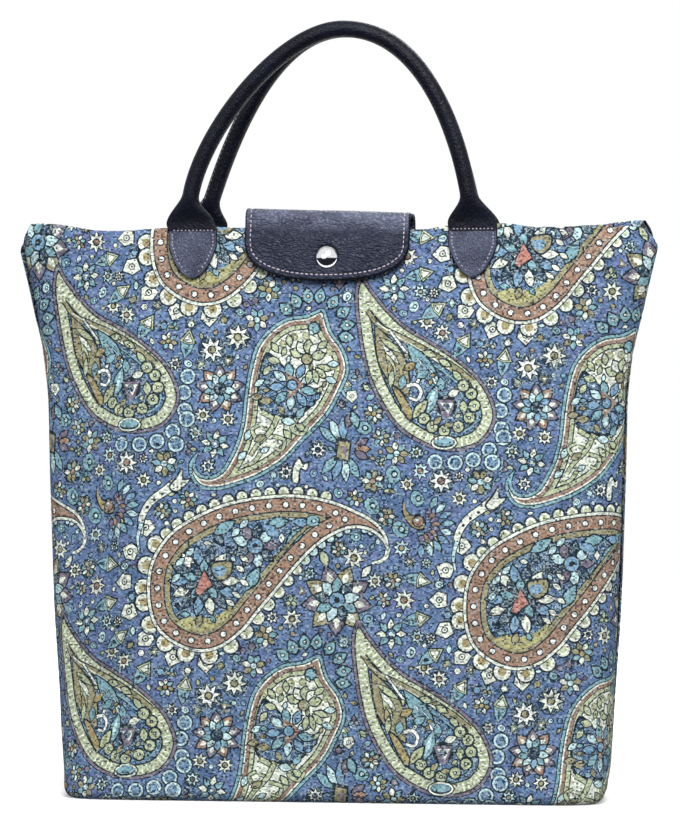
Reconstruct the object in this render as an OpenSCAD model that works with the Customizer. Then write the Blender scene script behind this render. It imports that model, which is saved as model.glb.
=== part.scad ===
// Foldable shopping bag: a boxed tapestry bag with a zip along its top edge,
// two rolled leather handles and a leather flap closed by a press stud.
// X runs across the bag, the front faces -Y and Z is up. The origin is the middle of the base.

/* [Bag] */
// Height of the panels up to the top edge
bag_h = 362; // [320:1:420]
// Width across the top edge, over both tips
top_w = 405; // [370:1:440]
// Width at mid height
waist_w = 363; // [340:1:380]
// Width across the base
base_w = 349; // [320:1:370]
// Depth of the base
base_d = 80; // [60:1:110]
// Depth of the top edge at its middle
mouth_d = 30; // [28:1:40]
// Height over which the sides flare out to the tips
tip_h = 110; // [80:1:140]
// Depth of the widest place of the tips below the top edge
tip_drop = 13; // [9:1:18]
// How far the tips round in above their widest place
tip_round = 6; // [2:0.5:8]
// Swell of the panels at mid height
belly = 5; // [0:0.5:9]
// Squareness of the upright corners at the base
base_square = 14; // [8:1:20]
// Squareness of the upright corners from mid height up
top_square = 6; // [5:0.5:10]
// Radius of the edge from the walls to the base
base_r = 7; // [5:0.5:12]
// Thickness of the tapestry cloth
cloth_t = 1.6; // [1:0.1:2]
// Thickness of the turned-in hem along the top edge
hem_t = 2.8; // [2.4:0.1:3.2]
// Height of the hem
hem_h = 14; // [11:1:15]

/* [Lining] */
// Thickness of the lining cloth
lining_t = 0.5; // [0.4:0.1:0.8]
// Room between the tapestry and the lining
lining_gap = 0.9; // [0.8:0.05:0.95]

/* [Zip] */
// Depth of the zip below the top edge
zip_drop = 7; // [5:0.5:9]
// Distance from each end of the zip's teeth to the tip of the top edge
zip_end = 29.5; // [25:0.5:50]
// Width of the gap between the two rows of teeth
row_gap = 6; // [5.5:0.1:6.4]
// Width of one row of teeth
tooth_w = 2.4; // [2:0.1:2.6]
// Thickness of the teeth
tooth_t = 2.4; // [2:0.1:3]
// Spacing of the teeth along a row
tooth_pitch = 3.2; // [2.8:0.2:4]
// Thickness of the woven tape
tape_t = 0.7; // [0.5:0.1:0.9]
// Length of the slider
slider_l = 15; // [12:0.5:18]
// Thickness of the slider's plates
slider_plate = 1.2; // [1:0.1:1.6]
// Length of the pull, from its pin to its end
pull_l = 28; // [22:1:34]
// Width of the pull
pull_w = 8; // [7:0.5:9]

/* [Flap] */
// Width of the flap
flap_w = 105; // [90:1:116]
// Sideways place of the flap and of its press stud
flap_x = -3; // [-8:0.5:8]
// Thickness of the flap's leather
flap_t = 2.6; // [2:0.1:3]
// How far the front of the flap hangs below the top edge
flap_drop = 35; // [33:1:44]
// How far the flap stands above the top edge
flap_rise = 10.5; // [10:0.5:15]
// Height of the curved lower end of the flap
flap_round = 25; // [18:1:28]
// Radius of the flap where it turns over the top
flap_bend = 7; // [5:0.5:8.5]
// How far the sewn rear half hangs below the top edge
anchor_drop = 32; // [26:1:40]

/* [Press stud] */
// Diameter of the cap
cap_d = 14; // [12:0.5:16]
// Height of the cap above the leather
cap_h = 3.4; // [2.6:0.2:4.4]
// Depth of the press stud below the top edge
stud_drop = 20; // [20:0.5:22]
// Diameter of the stud's head
stud_head_d = 4.4; // [3.6:0.2:5]
// Height of the stud's head above its flange
stud_head_h = 1.8; // [1.5:0.1:2.2]
// Thickness of the flange
stud_flange = 0.5; // [0.4:0.1:0.7]

/* [Handles] */
// Distance of each handle's ends from the middle
tab_x = 89; // [80:1:96]
// Width of the sewn tabs
tab_w = 31; // [26:1:36]
// Thickness of the handle leather at the tabs
tab_t = 2.4; // [2:0.1:2.6]
// Length of the tabs
tab_l = 28.5; // [25:0.5:36]
// Depth of the tabs' upper end below the top edge
tab_drop = 3; // [2:0.5:6]
// Diameter of the rolled grip
grip_d = 10.6; // [9:0.1:13]
// Height from the tabs to the middle of the grip of the front handle
front_rise = 127.6; // [110:0.2:150]
// Height from the tabs to the middle of the grip of the rear handle
rear_rise = 130.9; // [110:0.1:150]
// Sideways lean of the front handle's top
front_lean = 6.5; // [-12:0.5:12]
// Sideways lean of the rear handle's top
rear_lean = 4; // [-12:0.5:12]
// Height of the flare between a tab and the round grip
flare_h = 23.5; // [20:0.5:30]

/* [Fits] */
// Room between sewn pieces
sewn_gap = 0.3; // [0.2:0.05:0.4]
// Room round the slider's moving faces
slide_gap = 0.35; // [0.3:0.05:0.4]
// Room round pins and shanks in their holes
pin_gap = 0.3; // [0.2:0.05:0.35]

/* [Hidden] */

n_side = 7;
n_front = 16;
n_edge = 3;
n_body = 8;
n_tip = 7;
n_hem = 3;
fine = 64;

cloth_colour = [0.42, 0.51, 0.68];
lining_colour = [0.20, 0.22, 0.32];
tape_colour = [0.13, 0.15, 0.24];
leather_colour = [0.17, 0.18, 0.27];
metal_colour = [0.75, 0.75, 0.77];

// Shape of the bag at height z
function mix(a, b, t) = a + (b - a) * t;
function ease(t) = let (c = min(max(t, 0), 1)) c * c * (3 - 2 * c);
function level(z) = z / bag_h;
function plain_w(z) = mix(base_w / 2, waist_w - base_w / 2, level(z));
tip_out = top_w / 2 - plain_w(bag_h - tip_drop);
function share(a, b, z) = min(max((z - a) / (b - a), 0), 1);
function half_w(z) = plain_w(z)
    + tip_out * pow(share(bag_h - tip_h, bag_h - tip_drop, z), 1.45)
    - tip_round * pow(share(bag_h - tip_drop, bag_h, z), 2);
function half_d(z) = mix(base_d, mouth_d, level(z)) / 2 + belly * sin(180 * level(z));
// Powers of the outline at height z, across and in depth
function power_x(z) = mix(base_square, top_square, share(0, bag_h / 2, z));
function power_y(z) = mix(3, 2.2, share(0, bag_h / 2, z));
// Depth of the front at x, and reach of the side at y, for the surface that lies o inside the outer one
function depth(x, z, o) = let (q = min(abs(x) / (half_w(z) - o), 1))
    (half_d(z) - o) * pow(1 - pow(q, power_x(z)), 1 / power_y(z));
function reach(y, z, o) = let (q = min(abs(y) / (half_d(z) - o), 1))
    (half_w(z) - o) * pow(1 - pow(q, power_y(z)), 1 / power_x(z));

// Outline of the front half, from the left seam over the front to the right seam
front_share = 0.93;
function left_end(z, o) = let (turn = depth(front_share * (half_w(z) - o), z, o))
    [for (k = [0 : n_side - 1]) let (y = turn * k / n_side) [-reach(y, z, o), -y]];
function flip_x(list) = [for (i = [len(list) - 1 : -1 : 0]) [-list[i][0], list[i][1]]];
function flip_y(list) = [for (i = [len(list) - 1 : -1 : 0]) [list[i][0], -list[i][1]]];
function front_line(z, o) = let (w = front_share * (half_w(z) - o))
    [for (j = [0 : n_front]) let (t = mix(-1, 1, j / n_front), x = w * (1.3 * t - 0.3 * t * t * t))
        [x, -depth(x, z, o)]];
function half_ring(z, o) = let (e = left_end(z, o)) concat(e, front_line(z, o), flip_x(e));
function inner_part(list) = [for (i = [1 : len(list) - 2]) list[i]];
function full_ring(z, o) = let (h = half_ring(z, o)) concat(h, flip_y(inner_part(h)));

// Levels of a surface that lies o inside the outer one, as height and inset
function edge_levels(o) = [for (k = [0 : n_edge]) let (t = 90 * k / n_edge)
    [base_r - (base_r - o) * cos(t), base_r - (base_r - o) * sin(t)]];
function body_levels(o, top) = [for (k = [1 : n_body]) [mix(base_r, top, k / n_body), o]];
function tip_levels(o, low, top) = [for (k = [1 : n_tip]) [mix(low, top, k / n_tip), o]];
function hem_levels(o) = concat([[bag_h - hem_h + 0.6, o]],
    [for (k = [1 : n_hem]) [bag_h - hem_h * (1 - k / n_hem), o]]);
function panel_levels(o, hem_o) = concat(edge_levels(o), body_levels(o, bag_h - tip_h),
    tip_levels(o, bag_h - tip_h, bag_h - hem_h), hem_levels(hem_o));
function lining_levels(o) = concat(edge_levels(o), body_levels(o, bag_h - tip_h),
    tip_levels(o, bag_h - tip_h, bag_h - hem_h - 1));

// Triangles between neighbouring rows of points
function quad(a, b, c, d) = [[a, b, c], [a, c, d]];
function place(ring, z) = [for (p = ring) [p[0], p[1], z]];
function flat_list(lists) = [for (l = lists) for (p = l) p];

module half_shell() {
    n = len(half_ring(bag_h, 0));
    out = panel_levels(0, 0);
    inn = panel_levels(cloth_t, hem_t);
    start = len(out) * n;
    top = (len(out) - 1) * n;
    inn_top = start + (len(inn) - 1) * n;
    points = concat(flat_list([for (l = out) place(half_ring(l[0], l[1]), l[0])]),
        flat_list([for (l = inn) place(half_ring(l[0], l[1]), l[0])]));
    outer_faces = [for (j = [0 : len(out) - 2]) for (i = [0 : n - 2])
        each quad(j * n + i, (j + 1) * n + i, (j + 1) * n + i + 1, j * n + i + 1)];
    inner_faces = [for (j = [0 : len(inn) - 2]) for (i = [0 : n - 2]) let (b = start + j * n + i)
        each quad(b, b + 1, b + n + 1, b + n)];
    low_rim = [for (i = [0 : n - 2]) each quad(i, i + 1, start + i + 1, start + i)];
    top_rim = [for (i = [0 : n - 2]) each quad(top + i, inn_top + i, inn_top + i + 1, top + i + 1)];
    seams = [for (j = [0 : len(out) - 2]) let (a = j * n, b = a + n - 1)
        each concat(quad(start + a, start + a + n, a + n, a), quad(b, b + n, start + b + n, start + b))];
    polyhedron(points, concat(outer_faces, inner_faces, low_rim, top_rim, seams));
}

module front_panel() {
    color(cloth_colour) difference() {
        half_shell();
        at_stud() translate([0, 0, -6]) cylinder(d = shank_d + 2 * pin_gap, h = 12, $fn = fine);
    }
}

module back_panel() {
    color(cloth_colour) mirror([0, 1, 0]) half_shell();
}

module base_panel() {
    color(cloth_colour) linear_extrude(cloth_t)
        polygon(full_ring(0, base_r + sewn_gap));
}

module lining() {
    o = cloth_t + lining_gap;
    n = len(full_ring(bag_h, 0));
    out = lining_levels(o);
    inn = lining_levels(o + lining_t);
    start = len(out) * n;
    top = (len(out) - 1) * n;
    middle = 2 * start;
    points = concat(flat_list([for (l = out) place(full_ring(l[0], l[1]), l[0])]),
        flat_list([for (l = inn) place(full_ring(l[0], l[1]), l[0])]),
        [[0, 0, out[0][0]], [0, 0, inn[0][0]]]);
    outer_faces = [for (j = [0 : len(out) - 2]) for (i = [0 : n - 1]) let (k = (i + 1) % n)
        each quad(j * n + i, (j + 1) * n + i, (j + 1) * n + k, j * n + k)];
    inner_faces = [for (j = [0 : len(inn) - 2]) for (i = [0 : n - 1]) let (k = (i + 1) % n, b = start + j * n)
        each quad(b + i, b + k, b + n + k, b + n + i)];
    top_rim = [for (i = [0 : n - 1]) let (k = (i + 1) % n)
        each quad(top + i, start + top + i, start + top + k, top + k)];
    floor_faces = [for (i = [0 : n - 1]) [middle, i, (i + 1) % n]];
    inner_floor = [for (i = [0 : n - 1]) [middle + 1, start + (i + 1) % n, start + i]];
    color(lining_colour)
        polyhedron(points, concat(outer_faces, inner_faces, top_rim, floor_faces, inner_floor));
}

// Zip
zip_z = bag_h - zip_drop;
zip_len = top_w - 2 * zip_end;
row_out = row_gap / 2 + tooth_w;
tape_half = zip_len / 2 + 4;
slider_in_y = row_out + slide_gap;
slider_out_y = slider_in_y + 1;
slider_in_z = tooth_t / 2 + slide_gap;
slider_top = slider_in_z + slider_plate;
stop_l = 3;
slider_x = -zip_len / 2 + stop_l + slide_gap + slider_l / 2;
pin_d = 1.8;
pin_z = slider_top + 2.4;
bail_w = 3.4;
arm_in = bail_w / 2 + slide_gap;

module tape() {
    edge = [for (k = [0 : 28]) let (x = mix(-tape_half, tape_half, k / 28))
        [x, -(depth(x, zip_z, hem_t) - sewn_gap)]];
    translate([0, 0, zip_z - tape_t / 2]) linear_extrude(tape_t)
        polygon(concat(edge, [[tape_half, -row_out], [-tape_half, -row_out]]));
}

module teeth() {
    count = floor(zip_len / tooth_pitch);
    begin = -count * tooth_pitch / 2;
    root = -(row_gap / 2 + tooth_w * 0.55);
    tip = -row_gap / 2;
    comb = [for (k = [0 : count - 1]) let (x = begin + k * tooth_pitch)
        each [[x, root], [x + 0.12 * tooth_pitch, tip], [x + 0.58 * tooth_pitch, tip],
            [x + 0.7 * tooth_pitch, root]]];
    translate([0, 0, zip_z - tooth_t / 2]) linear_extrude(tooth_t)
        polygon(concat([[begin, -row_out]], comb, [[-begin, root], [-begin, -row_out]]));
}

module zip_tape_front() {
    color(tape_colour) tape();
}

module zip_tape_back() {
    color(tape_colour) mirror([0, 1, 0]) tape();
}

module zip_teeth_front() {
    color(tape_colour) teeth();
}

module zip_teeth_back() {
    color(tape_colour) mirror([0, 1, 0]) teeth();
}

// Block over the ends of the rows between two depths, with a channel for each row
module stop_block(x0, x1, y0, y1) {
    high = tooth_t / 2 + slide_gap;
    difference() {
        translate([x0, y0, zip_z - high - 1]) cube([x1 - x0, y1 - y0, 2 * high + 2]);
        for (s = [-1, 1])
            translate([-zip_len / 2 - slide_gap, s > 0 ? row_gap / 2 - slide_gap : -row_out - 1, zip_z - high])
                cube([zip_len + 2 * slide_gap, tooth_w + slide_gap + 1, 2 * high]);
    }
}

module zip_bottom_stop() {
    color(metal_colour)
        stop_block(-zip_len / 2 - 1.5, -zip_len / 2 + stop_l, -row_out, row_out);
}

module zip_top_stops() {
    color(metal_colour) {
        stop_block(zip_len / 2 - stop_l, zip_len / 2 + 1.5, -row_out, -row_gap / 2);
        stop_block(zip_len / 2 - stop_l, zip_len / 2 + 1.5, row_gap / 2, row_out);
    }
}

module slider_plate_shape() {
    r = 2;
    linear_extrude(slider_plate) {
        square([slider_l - 2 * r, 2 * slider_out_y], center = true);
        square([slider_l, 2 * slider_out_y - 2 * r], center = true);
        for (i = [-1, 1], j = [-1, 1])
            translate([i * (slider_l / 2 - r), j * (slider_out_y - r)]) circle(r = r, $fn = fine);
    }
}

module zip_slider() {
    slot = tape_t / 2 + slide_gap;
    wedge = row_gap / 2 - slide_gap;
    color(metal_colour) translate([slider_x, 0, zip_z]) difference() {
        union() {
            translate([0, 0, slider_in_z]) slider_plate_shape();
            translate([0, 0, -slider_top]) slider_plate_shape();
            for (s = [-1, 1]) {
                y = s > 0 ? slider_in_y : -slider_out_y;
                translate([-slider_l / 2 + 2, y, slot]) cube([slider_l - 4, 1, slider_in_z - slot + 0.2]);
                translate([-slider_l / 2 + 2, y, -slider_in_z - 0.2])
                    cube([slider_l - 4, 1, slider_in_z - slot + 0.2]);
            }
            translate([0, 0, -slider_in_z - 0.2]) linear_extrude(2 * slider_in_z + 0.4)
                polygon([[-slider_l * 0.2, 0], [slider_l * 0.1, -wedge], [slider_l / 2 - 1, -wedge],
                    [slider_l / 2 - 1, wedge], [slider_l * 0.1, wedge]]);
            translate([-2.4, -bail_w / 2, slider_top - 0.2]) cube([4.8, bail_w, pin_z - slider_top + 0.2]);
            translate([0, bail_w / 2, pin_z]) rotate([90, 0, 0]) cylinder(r = 2.4, h = bail_w, $fn = fine);
        }
        translate([0, bail_w, pin_z]) rotate([90, 0, 0])
            cylinder(d = pin_d + 2 * pin_gap, h = 2 * bail_w, $fn = fine);
    }
}

module zip_pull() {
    t = 1.4;
    arm = pull_w / 2 - arm_in;
    round_d = pull_w;
    color(metal_colour) translate([slider_x, 0, zip_z + pin_z]) difference() {
        union() {
            translate([0, pull_w / 2, 0]) rotate([90, 0, 0]) cylinder(d = pin_d, h = pull_w, $fn = fine);
            for (s = [-1, 1])
                translate([0, s > 0 ? arm_in : -arm_in - arm, -t / 2]) cube([5, arm, t]);
            translate([4, -pull_w / 2, -t / 2]) cube([pull_l - 4 - round_d / 2, pull_w, t]);
            translate([pull_l - round_d / 2, 0, -t / 2]) cylinder(d = round_d, h = t, $fn = fine);
        }
        translate([pull_l - round_d / 2, 0, -t]) cylinder(d = pull_w * 0.42, h = 2 * t, $fn = fine);
    }
}

// Leather that lies along a line of depth and height, w wide across the bag
function across(path, i) = let (a = path[max(i - 1, 0)], b = path[min(i + 1, len(path) - 1)], d = b - a)
    [-d[1], d[0]] / norm(d);
module ribbon(path, t, w) {
    n = len(path) - 1;
    rotate([90, 0, 90]) translate([0, 0, -w / 2]) linear_extrude(w)
        polygon(concat([for (i = [0 : n]) path[i] + across(path, i) * t / 2],
            [for (i = [n : -1 : 0]) path[i] - across(path, i) * t / 2]));
}
module front_outline() {
    translate([0, base_d, 0]) rotate([90, 0, 0]) linear_extrude(2 * base_d) children();
}

// Flap and press stud
shank_d = 2.4;
stud_z = bag_h - stud_drop;
stud_tilt = atan((half_d(stud_z - 1) - half_d(stud_z + 1)) / 2);
stud_seat = sewn_gap / 2;
stud_base_d = 10;
socket_h = stud_head_h + 0.1;
socket_z = stud_seat + stud_flange + slide_gap;
under_flap = socket_z + socket_h + 0.1;
flap_mid = half_d(bag_h) + sewn_gap + flap_t / 2;
flap_hinge_up = 1.5;
flap_top = bag_h + flap_rise - flap_t / 2;
flap_r = min(flap_bend, flap_rise - flap_t / 2 - flap_hinge_up - 1);
function panel_at(z) = half_d(min(z, bag_h));
function flap_gap(z) = mix(sewn_gap, under_flap, ease((bag_h + 2 - z) / (stud_drop * 0.62)));
anchor_path = [for (k = [0 : 8]) let (z = mix(bag_h - anchor_drop, bag_h + flap_hinge_up - 0.15, k / 8))
    [panel_at(z) + sewn_gap + flap_t / 2, z]];
flap_path = concat([[flap_mid, bag_h + flap_hinge_up + 0.15]],
    [for (k = [0 : 6]) [flap_mid - flap_r + flap_r * cos(15 * k), flap_top - flap_r + flap_r * sin(15 * k)]],
    [for (k = [6 : 12]) [flap_r - flap_mid + flap_r * cos(15 * k), flap_top - flap_r + flap_r * sin(15 * k)]],
    [for (k = [0 : 10]) let (z = mix(bag_h + 1.5, bag_h - flap_drop, k / 10))
        [-(panel_at(z) + flap_gap(z) + flap_t / 2), z]]);

module at_stud() {
    translate([flap_x, -half_d(stud_z), stud_z]) rotate([90 - stud_tilt, 0, 0]) children();
}

// Straight-sided outline with a full, rounded lower end
module rounded_end(w, low, high, end_h, power) {
    polygon(concat([[w / 2, high], [-w / 2, high]],
        [for (k = [0 : 24]) let (a = 180 + 180 * k / 24, c = cos(a), s = -sin(a))
            [w / 2 * sign(c) * pow(abs(c), 2 / power), low + end_h - end_h * pow(max(s, 0), 2 / power)]]));
}

module flap_anchor() {
    color(leather_colour) translate([flap_x, 0, 0]) intersection() {
        ribbon(anchor_path, flap_t, flap_w);
        front_outline() rounded_end(flap_w, bag_h - anchor_drop - 1, bag_h + 20, 16, 3.2);
    }
}

module flap() {
    color(leather_colour) difference() {
        translate([flap_x, 0, 0]) intersection() {
            ribbon(flap_path, flap_t, flap_w);
            front_outline() rounded_end(flap_w, bag_h - flap_drop, bag_h + 40, flap_round, 2.4);
        }
        at_stud() translate([0, 0, under_flap - 1]) cylinder(d = shank_d + 2 * pin_gap, h = flap_t + 2, $fn = fine);
    }
}

module snap_cap() {
    r = cap_d / 2;
    ball = (r * r + cap_h * cap_h) / (2 * cap_h);
    seat = under_flap + flap_t + stud_seat;
    color(metal_colour) at_stud() {
        translate([0, 0, seat]) rotate_extrude($fn = fine) intersection() {
            translate([0, cap_h - ball]) circle(r = ball, $fn = fine);
            square([r, cap_h]);
        }
        translate([0, 0, under_flap]) cylinder(d = shank_d, h = seat - under_flap + 0.2, $fn = fine);
    }
}

module snap_socket() {
    color(metal_colour) at_stud() translate([0, 0, socket_z]) difference() {
        cylinder(d = stud_base_d, h = socket_h, $fn = fine);
        translate([0, 0, -1]) cylinder(d = stud_head_d + 2 * pin_gap, h = socket_h + 2, $fn = fine);
    }
}

module snap_stud() {
    r = stud_head_d / 2;
    f = stud_flange;
    color(metal_colour) at_stud() translate([0, 0, stud_seat]) rotate_extrude($fn = fine)
        polygon([[0, 0], [stud_base_d / 2, 0], [stud_base_d / 2, f], [r * 0.78, f], [r, f + stud_head_h * 0.5],
            [r * 0.92, f + stud_head_h * 0.85], [r * 0.7, f + stud_head_h], [0, f + stud_head_h]]);
}

module snap_post() {
    plate = 0.5;
    color(metal_colour) at_stud() {
        translate([0, 0, -cloth_t - 0.15 - plate]) cylinder(d = 9, h = plate, $fn = fine);
        translate([0, 0, -cloth_t - 0.25]) cylinder(d = shank_d, h = cloth_t + 0.25 + stud_seat, $fn = fine);
    }
}

// Handles
tab_z = bag_h - tab_drop;
strap_y = half_d(tab_z) + sewn_gap + tab_t / 2;
foot_gap = 0.3;
tab_path = [for (k = [0 : 6]) let (z = mix(tab_z - tab_l - 1, tab_z, k / 6))
    [-(half_d(z) + sewn_gap + tab_t / 2), z]];
function bez(p, t) = let (s = 1 - t)
    s * s * s * p[0] + 3 * s * s * t * p[1] + 3 * s * t * t * p[2] + t * t * t * p[3];
function slope(p, t) = let (s = 1 - t)
    s * s * (p[1] - p[0]) + 2 * s * t * (p[2] - p[1]) + t * t * (p[3] - p[2]);
function blunt(v, power) = sign(v) * pow(abs(v), 2 / power);
n_leg = 20;
n_round = 18;
// One leg's rings from its foot, as place, tangent angle and share of the flare
function leg(p) = [for (k = [0 : n_leg]) let (t = pow(k / n_leg, 1.3), c = bez(p, t), d = slope(p, t))
    [c, atan2(d[0], d[1]) * ease(c[1] / flare_h), min(c[1] / flare_h, 1)]];
function section(ring, side) = let (flat = (tab_drop + 1.5) / flare_h, s = ring[2],
    w = mix(tab_w / 2, grip_d / 2, ease((s - flat) / (1 - flat))),
    h = mix(tab_t / 2, grip_d / 2, ease((s - flat) / (1 - flat))), power = mix(7, 2, ease(s * 1.2)))
    [for (k = [0 : n_round - 1]) let (a = 360 * k / n_round, u = w * blunt(cos(a), power))
        [ring[0][0] + u * cos(ring[1]), h * blunt(sin(a), power), ring[0][1] - u * sin(ring[1])]];

module handle(left, right) {
    up = leg(left);
    down = leg(right);
    rings = concat([for (r = up) section(r)],
        [for (k = [n_leg - 1 : -1 : 0]) let (r = down[k]) section([r[0], r[1] + 180, r[2]])]);
    n = n_round;
    last = len(rings) - 1;
    faces = concat([for (j = [0 : last - 1]) for (i = [0 : n - 1]) let (k = (i + 1) % n)
            each quad(j * n + i, j * n + k, (j + 1) * n + k, (j + 1) * n + i)],
        [[for (i = [n - 1 : -1 : 0]) i], [for (i = [0 : n - 1]) last * n + i]]);
    translate([0, -strap_y, tab_z]) polyhedron(flat_list(rings), faces);
}

module tab(x) {
    hw = tab_w / 2;
    point = tab_l * 0.66;
    r = (point * point + hw * hw) / (2 * hw);
    intersection() {
        translate([x, 0, 0]) ribbon(tab_path, tab_t, tab_w);
        front_outline() translate([x, tab_z]) {
            translate([-hw, point - tab_l]) square([tab_w, tab_l - point + 5]);
            translate([0, point - tab_l]) intersection() {
                translate([r - hw, 0]) circle(r = r, $fn = fine);
                translate([hw - r, 0]) circle(r = r, $fn = fine);
                translate([-tab_w, -2 * tab_l]) square([2 * tab_w, 2 * tab_l + 0.01]);
            }
        }
    }
}

module front_handle() {
    top = [front_lean, front_rise];
    color(leather_colour) handle(
        [[-tab_x, foot_gap], [-tab_x - 15.7, 0.283 * front_rise], top - [0.367 * front_rise, 0], top],
        [[tab_x, foot_gap], [tab_x - 3.6, 0.389 * front_rise], top + [0.433 * front_rise, 0], top]);
}

module rear_handle() {
    top = [rear_lean, rear_rise];
    color(leather_colour) mirror([0, 1, 0]) handle(
        [[-tab_x, foot_gap], [-tab_x + 11, 0.282 * rear_rise], top - [0.417 * rear_rise, 0], top],
        [[tab_x, foot_gap], [tab_x - 7.8, 0.315 * rear_rise], top + [0.457 * rear_rise, 0], top]);
}

module front_tab_left() {
    color(leather_colour) tab(-tab_x);
}

module front_tab_right() {
    color(leather_colour) tab(tab_x);
}

module rear_tab_left() {
    color(leather_colour) mirror([0, 1, 0]) tab(-tab_x);
}

module rear_tab_right() {
    color(leather_colour) mirror([0, 1, 0]) tab(tab_x);
}

front_panel();
back_panel();
base_panel();
lining();
zip_tape_front();
zip_tape_back();
zip_teeth_front();
zip_teeth_back();
zip_bottom_stop();
zip_top_stops();
zip_slider();
zip_pull();
flap_anchor();
flap();
snap_cap();
snap_socket();
snap_stud();
snap_post();
front_handle();
front_tab_left();
front_tab_right();
rear_handle();
rear_tab_left();
rear_tab_right();
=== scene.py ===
"""Looks of the foldable shopping bag: woven print, leather, zip and press stud over the CAD frame."""
import math
import bpy
import numpy as np
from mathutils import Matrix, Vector
from mathutils.geometry import delaunay_2d_cdt

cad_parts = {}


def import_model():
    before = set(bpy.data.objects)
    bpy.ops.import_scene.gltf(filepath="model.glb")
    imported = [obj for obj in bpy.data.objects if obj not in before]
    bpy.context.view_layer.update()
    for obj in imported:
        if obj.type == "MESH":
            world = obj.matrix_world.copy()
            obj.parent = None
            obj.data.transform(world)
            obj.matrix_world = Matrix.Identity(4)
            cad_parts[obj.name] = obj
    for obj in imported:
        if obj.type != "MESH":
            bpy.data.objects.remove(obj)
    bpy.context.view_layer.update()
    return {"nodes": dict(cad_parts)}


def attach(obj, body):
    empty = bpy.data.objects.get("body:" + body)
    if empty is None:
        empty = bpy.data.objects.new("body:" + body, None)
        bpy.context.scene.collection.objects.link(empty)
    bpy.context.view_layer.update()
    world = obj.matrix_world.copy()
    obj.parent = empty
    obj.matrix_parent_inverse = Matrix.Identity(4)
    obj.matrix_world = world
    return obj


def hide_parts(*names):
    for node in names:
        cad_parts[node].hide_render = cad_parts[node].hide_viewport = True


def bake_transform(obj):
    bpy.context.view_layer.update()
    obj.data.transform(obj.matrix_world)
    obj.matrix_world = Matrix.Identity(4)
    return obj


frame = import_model()
MM = 0.001
TURN = 2 * math.pi

# Sizes, in mm
BAG_H, BASE_R, BELLY = 362.0, 7.0, 5.0
TOP_W, WAIST_W, BASE_W = 405.0, 363.0, 349.0
MOUTH_D, BASE_D = 30.0, 80.0
TIP_H, TIP_DROP, TIP_ROUND = 110.0, 13.0, 6.0
BASE_SQUARE, TOP_SQUARE = 14.0, 6.0
BASE_BLUNT, TOP_BLUNT = 3.0, 2.2
HEM_T, HEM_H = 2.8, 14.0
LINING_IN, LINING_TOP, LINING_LOW = 2.7, 350.0, 3.0
ZIP_Z, TAPE_HALF, ROW_OUT, TAPE_TURNED = 355.0, 177.0, 5.4, 6.0
SEWN_GAP = 0.3
FLAP_W, FLAP_X, FLAP_T = 105.0, -3.0, 2.6
FLAP_LOW, FLAP_ROUND, FLAP_TILT = 327.0, 25.0, 1.9
FLAP_RISE, FLAP_BEND, UNDER_FLAP, STUD_DROP = 10.5, 6.7, 3.0, 20.0
FLAP_SEAM = 3.8
ANCHOR_LOW, ANCHOR_ROUND = 329.0, 16.0
CAP_R = 7.0
TAB_X, TAB_Z, TAB_W = 89.0, 359.0, 31.0
TAB_T, TAB_L, TAB_DROP = 2.4, 28.5, 3.0
GRIP_R, FLARE_H = 5.3, 23.5
FRONT_RISE, FRONT_LEAN = 127.6, 6.5
REAR_RISE, REAR_LEAN = 130.9, 4.0

# Slack of the cloth: how far each side turns away, from which share of the girth, and where it fades
SLACK_LEFT, SLACK_RIGHT = 0.45, 0.2
SLACK_FROM, SLACK_OVER = 0.58, 0.27
SLACK_LOW, SLACK_TOP = 70.0, (290.0, 345.0)

# Sags of the cloth; a corner fold has depth, place, lean, width, and the heights between which it grows
BROAD_SAG, SMALL_SAG, LOW_SAG = 0.9, 0.35, 1.2
CORNER_FOLDS = ((-1.6, 150, 0.25, 11, 215, 330), (0.9, 172, 0.12, 9, 240, 345))
SHOULDER, CORNER_TUCK, SEAM_DIP = 2.4, 5.0, 1.0
UNDER_LEATHER_X = 118.0

# Height of the worn top edge above its plain line, across the front
TOP_WAVE = ((-205, 3.4), (-190, 3.8), (-176, 2.6), (-152, -1.5), (-135, -1.9), (-119, -0.8), (-104, 0.2),
            (-72, 0.2), (-56, -0.5), (0, -0.8), (48, -2.4), (56, -2.8), (70, 0.2), (104, 1.2), (111, 1.7),
            (124, -0.8), (145, -0.9), (170, 0.5), (186, -0.4), (205, -2.2))

# Camera as measured in the photo: turn, distance, scale and middle of the picture
CAM_TURN, CAM_FAR, MM_PER_PX, CAM_Z, CAM_X = 7.0, 2300.0, 0.636, 245.1, 2.86
PHOTO_W, PHOTO_H = 680, 823
SENSOR = 36.0

PALETTE = dict(navy="#0a161c", deep="#263f5c", blue="#5579a6", sky="#7fa7c5", aqua="#86b3bd", pale="#c9e7e9",
               cream="#ecf2e2", white="#f8fdf6", green="#bfc9a0", yellow="#b6b278", olive="#a09a72",
               gold="#ae9d68", brown="#9e7f6c", rust="#a8866d", salmon="#c08473", mauve="#7f7383",
               plum="#746888", violet="#6a78ac")


def linear(code):
    """Linear colour of a #rrggbb code."""
    c = np.array([int(code[i:i + 2], 16) for i in (1, 3, 5)]) / 255
    return np.where(c <= 0.04045, c / 12.92, ((c + 0.055) / 1.055) ** 2.4)


def rgba(code):
    return (*linear(code), 1.0)


# Curves and outlines
def mix(a, b, t):
    return a + (b - a) * t


def ease(t):
    c = np.clip(t, 0, 1)
    return c * c * (3 - 2 * c)


def share(a, b, z):
    """Share of the way from a to b, held at both ends."""
    return np.clip((z - a) / (b - a), 0, 1)


def ridge(x, middle, width):
    """Smooth hump of height 1."""
    return np.exp(-((x - middle) / width) ** 2)


def softened(values, count, **ends):
    """Running mean over count values."""
    kernel = np.hanning(count)
    return np.convolve(np.pad(values, count // 2, **ends), kernel / kernel.sum(), "valid")


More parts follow.
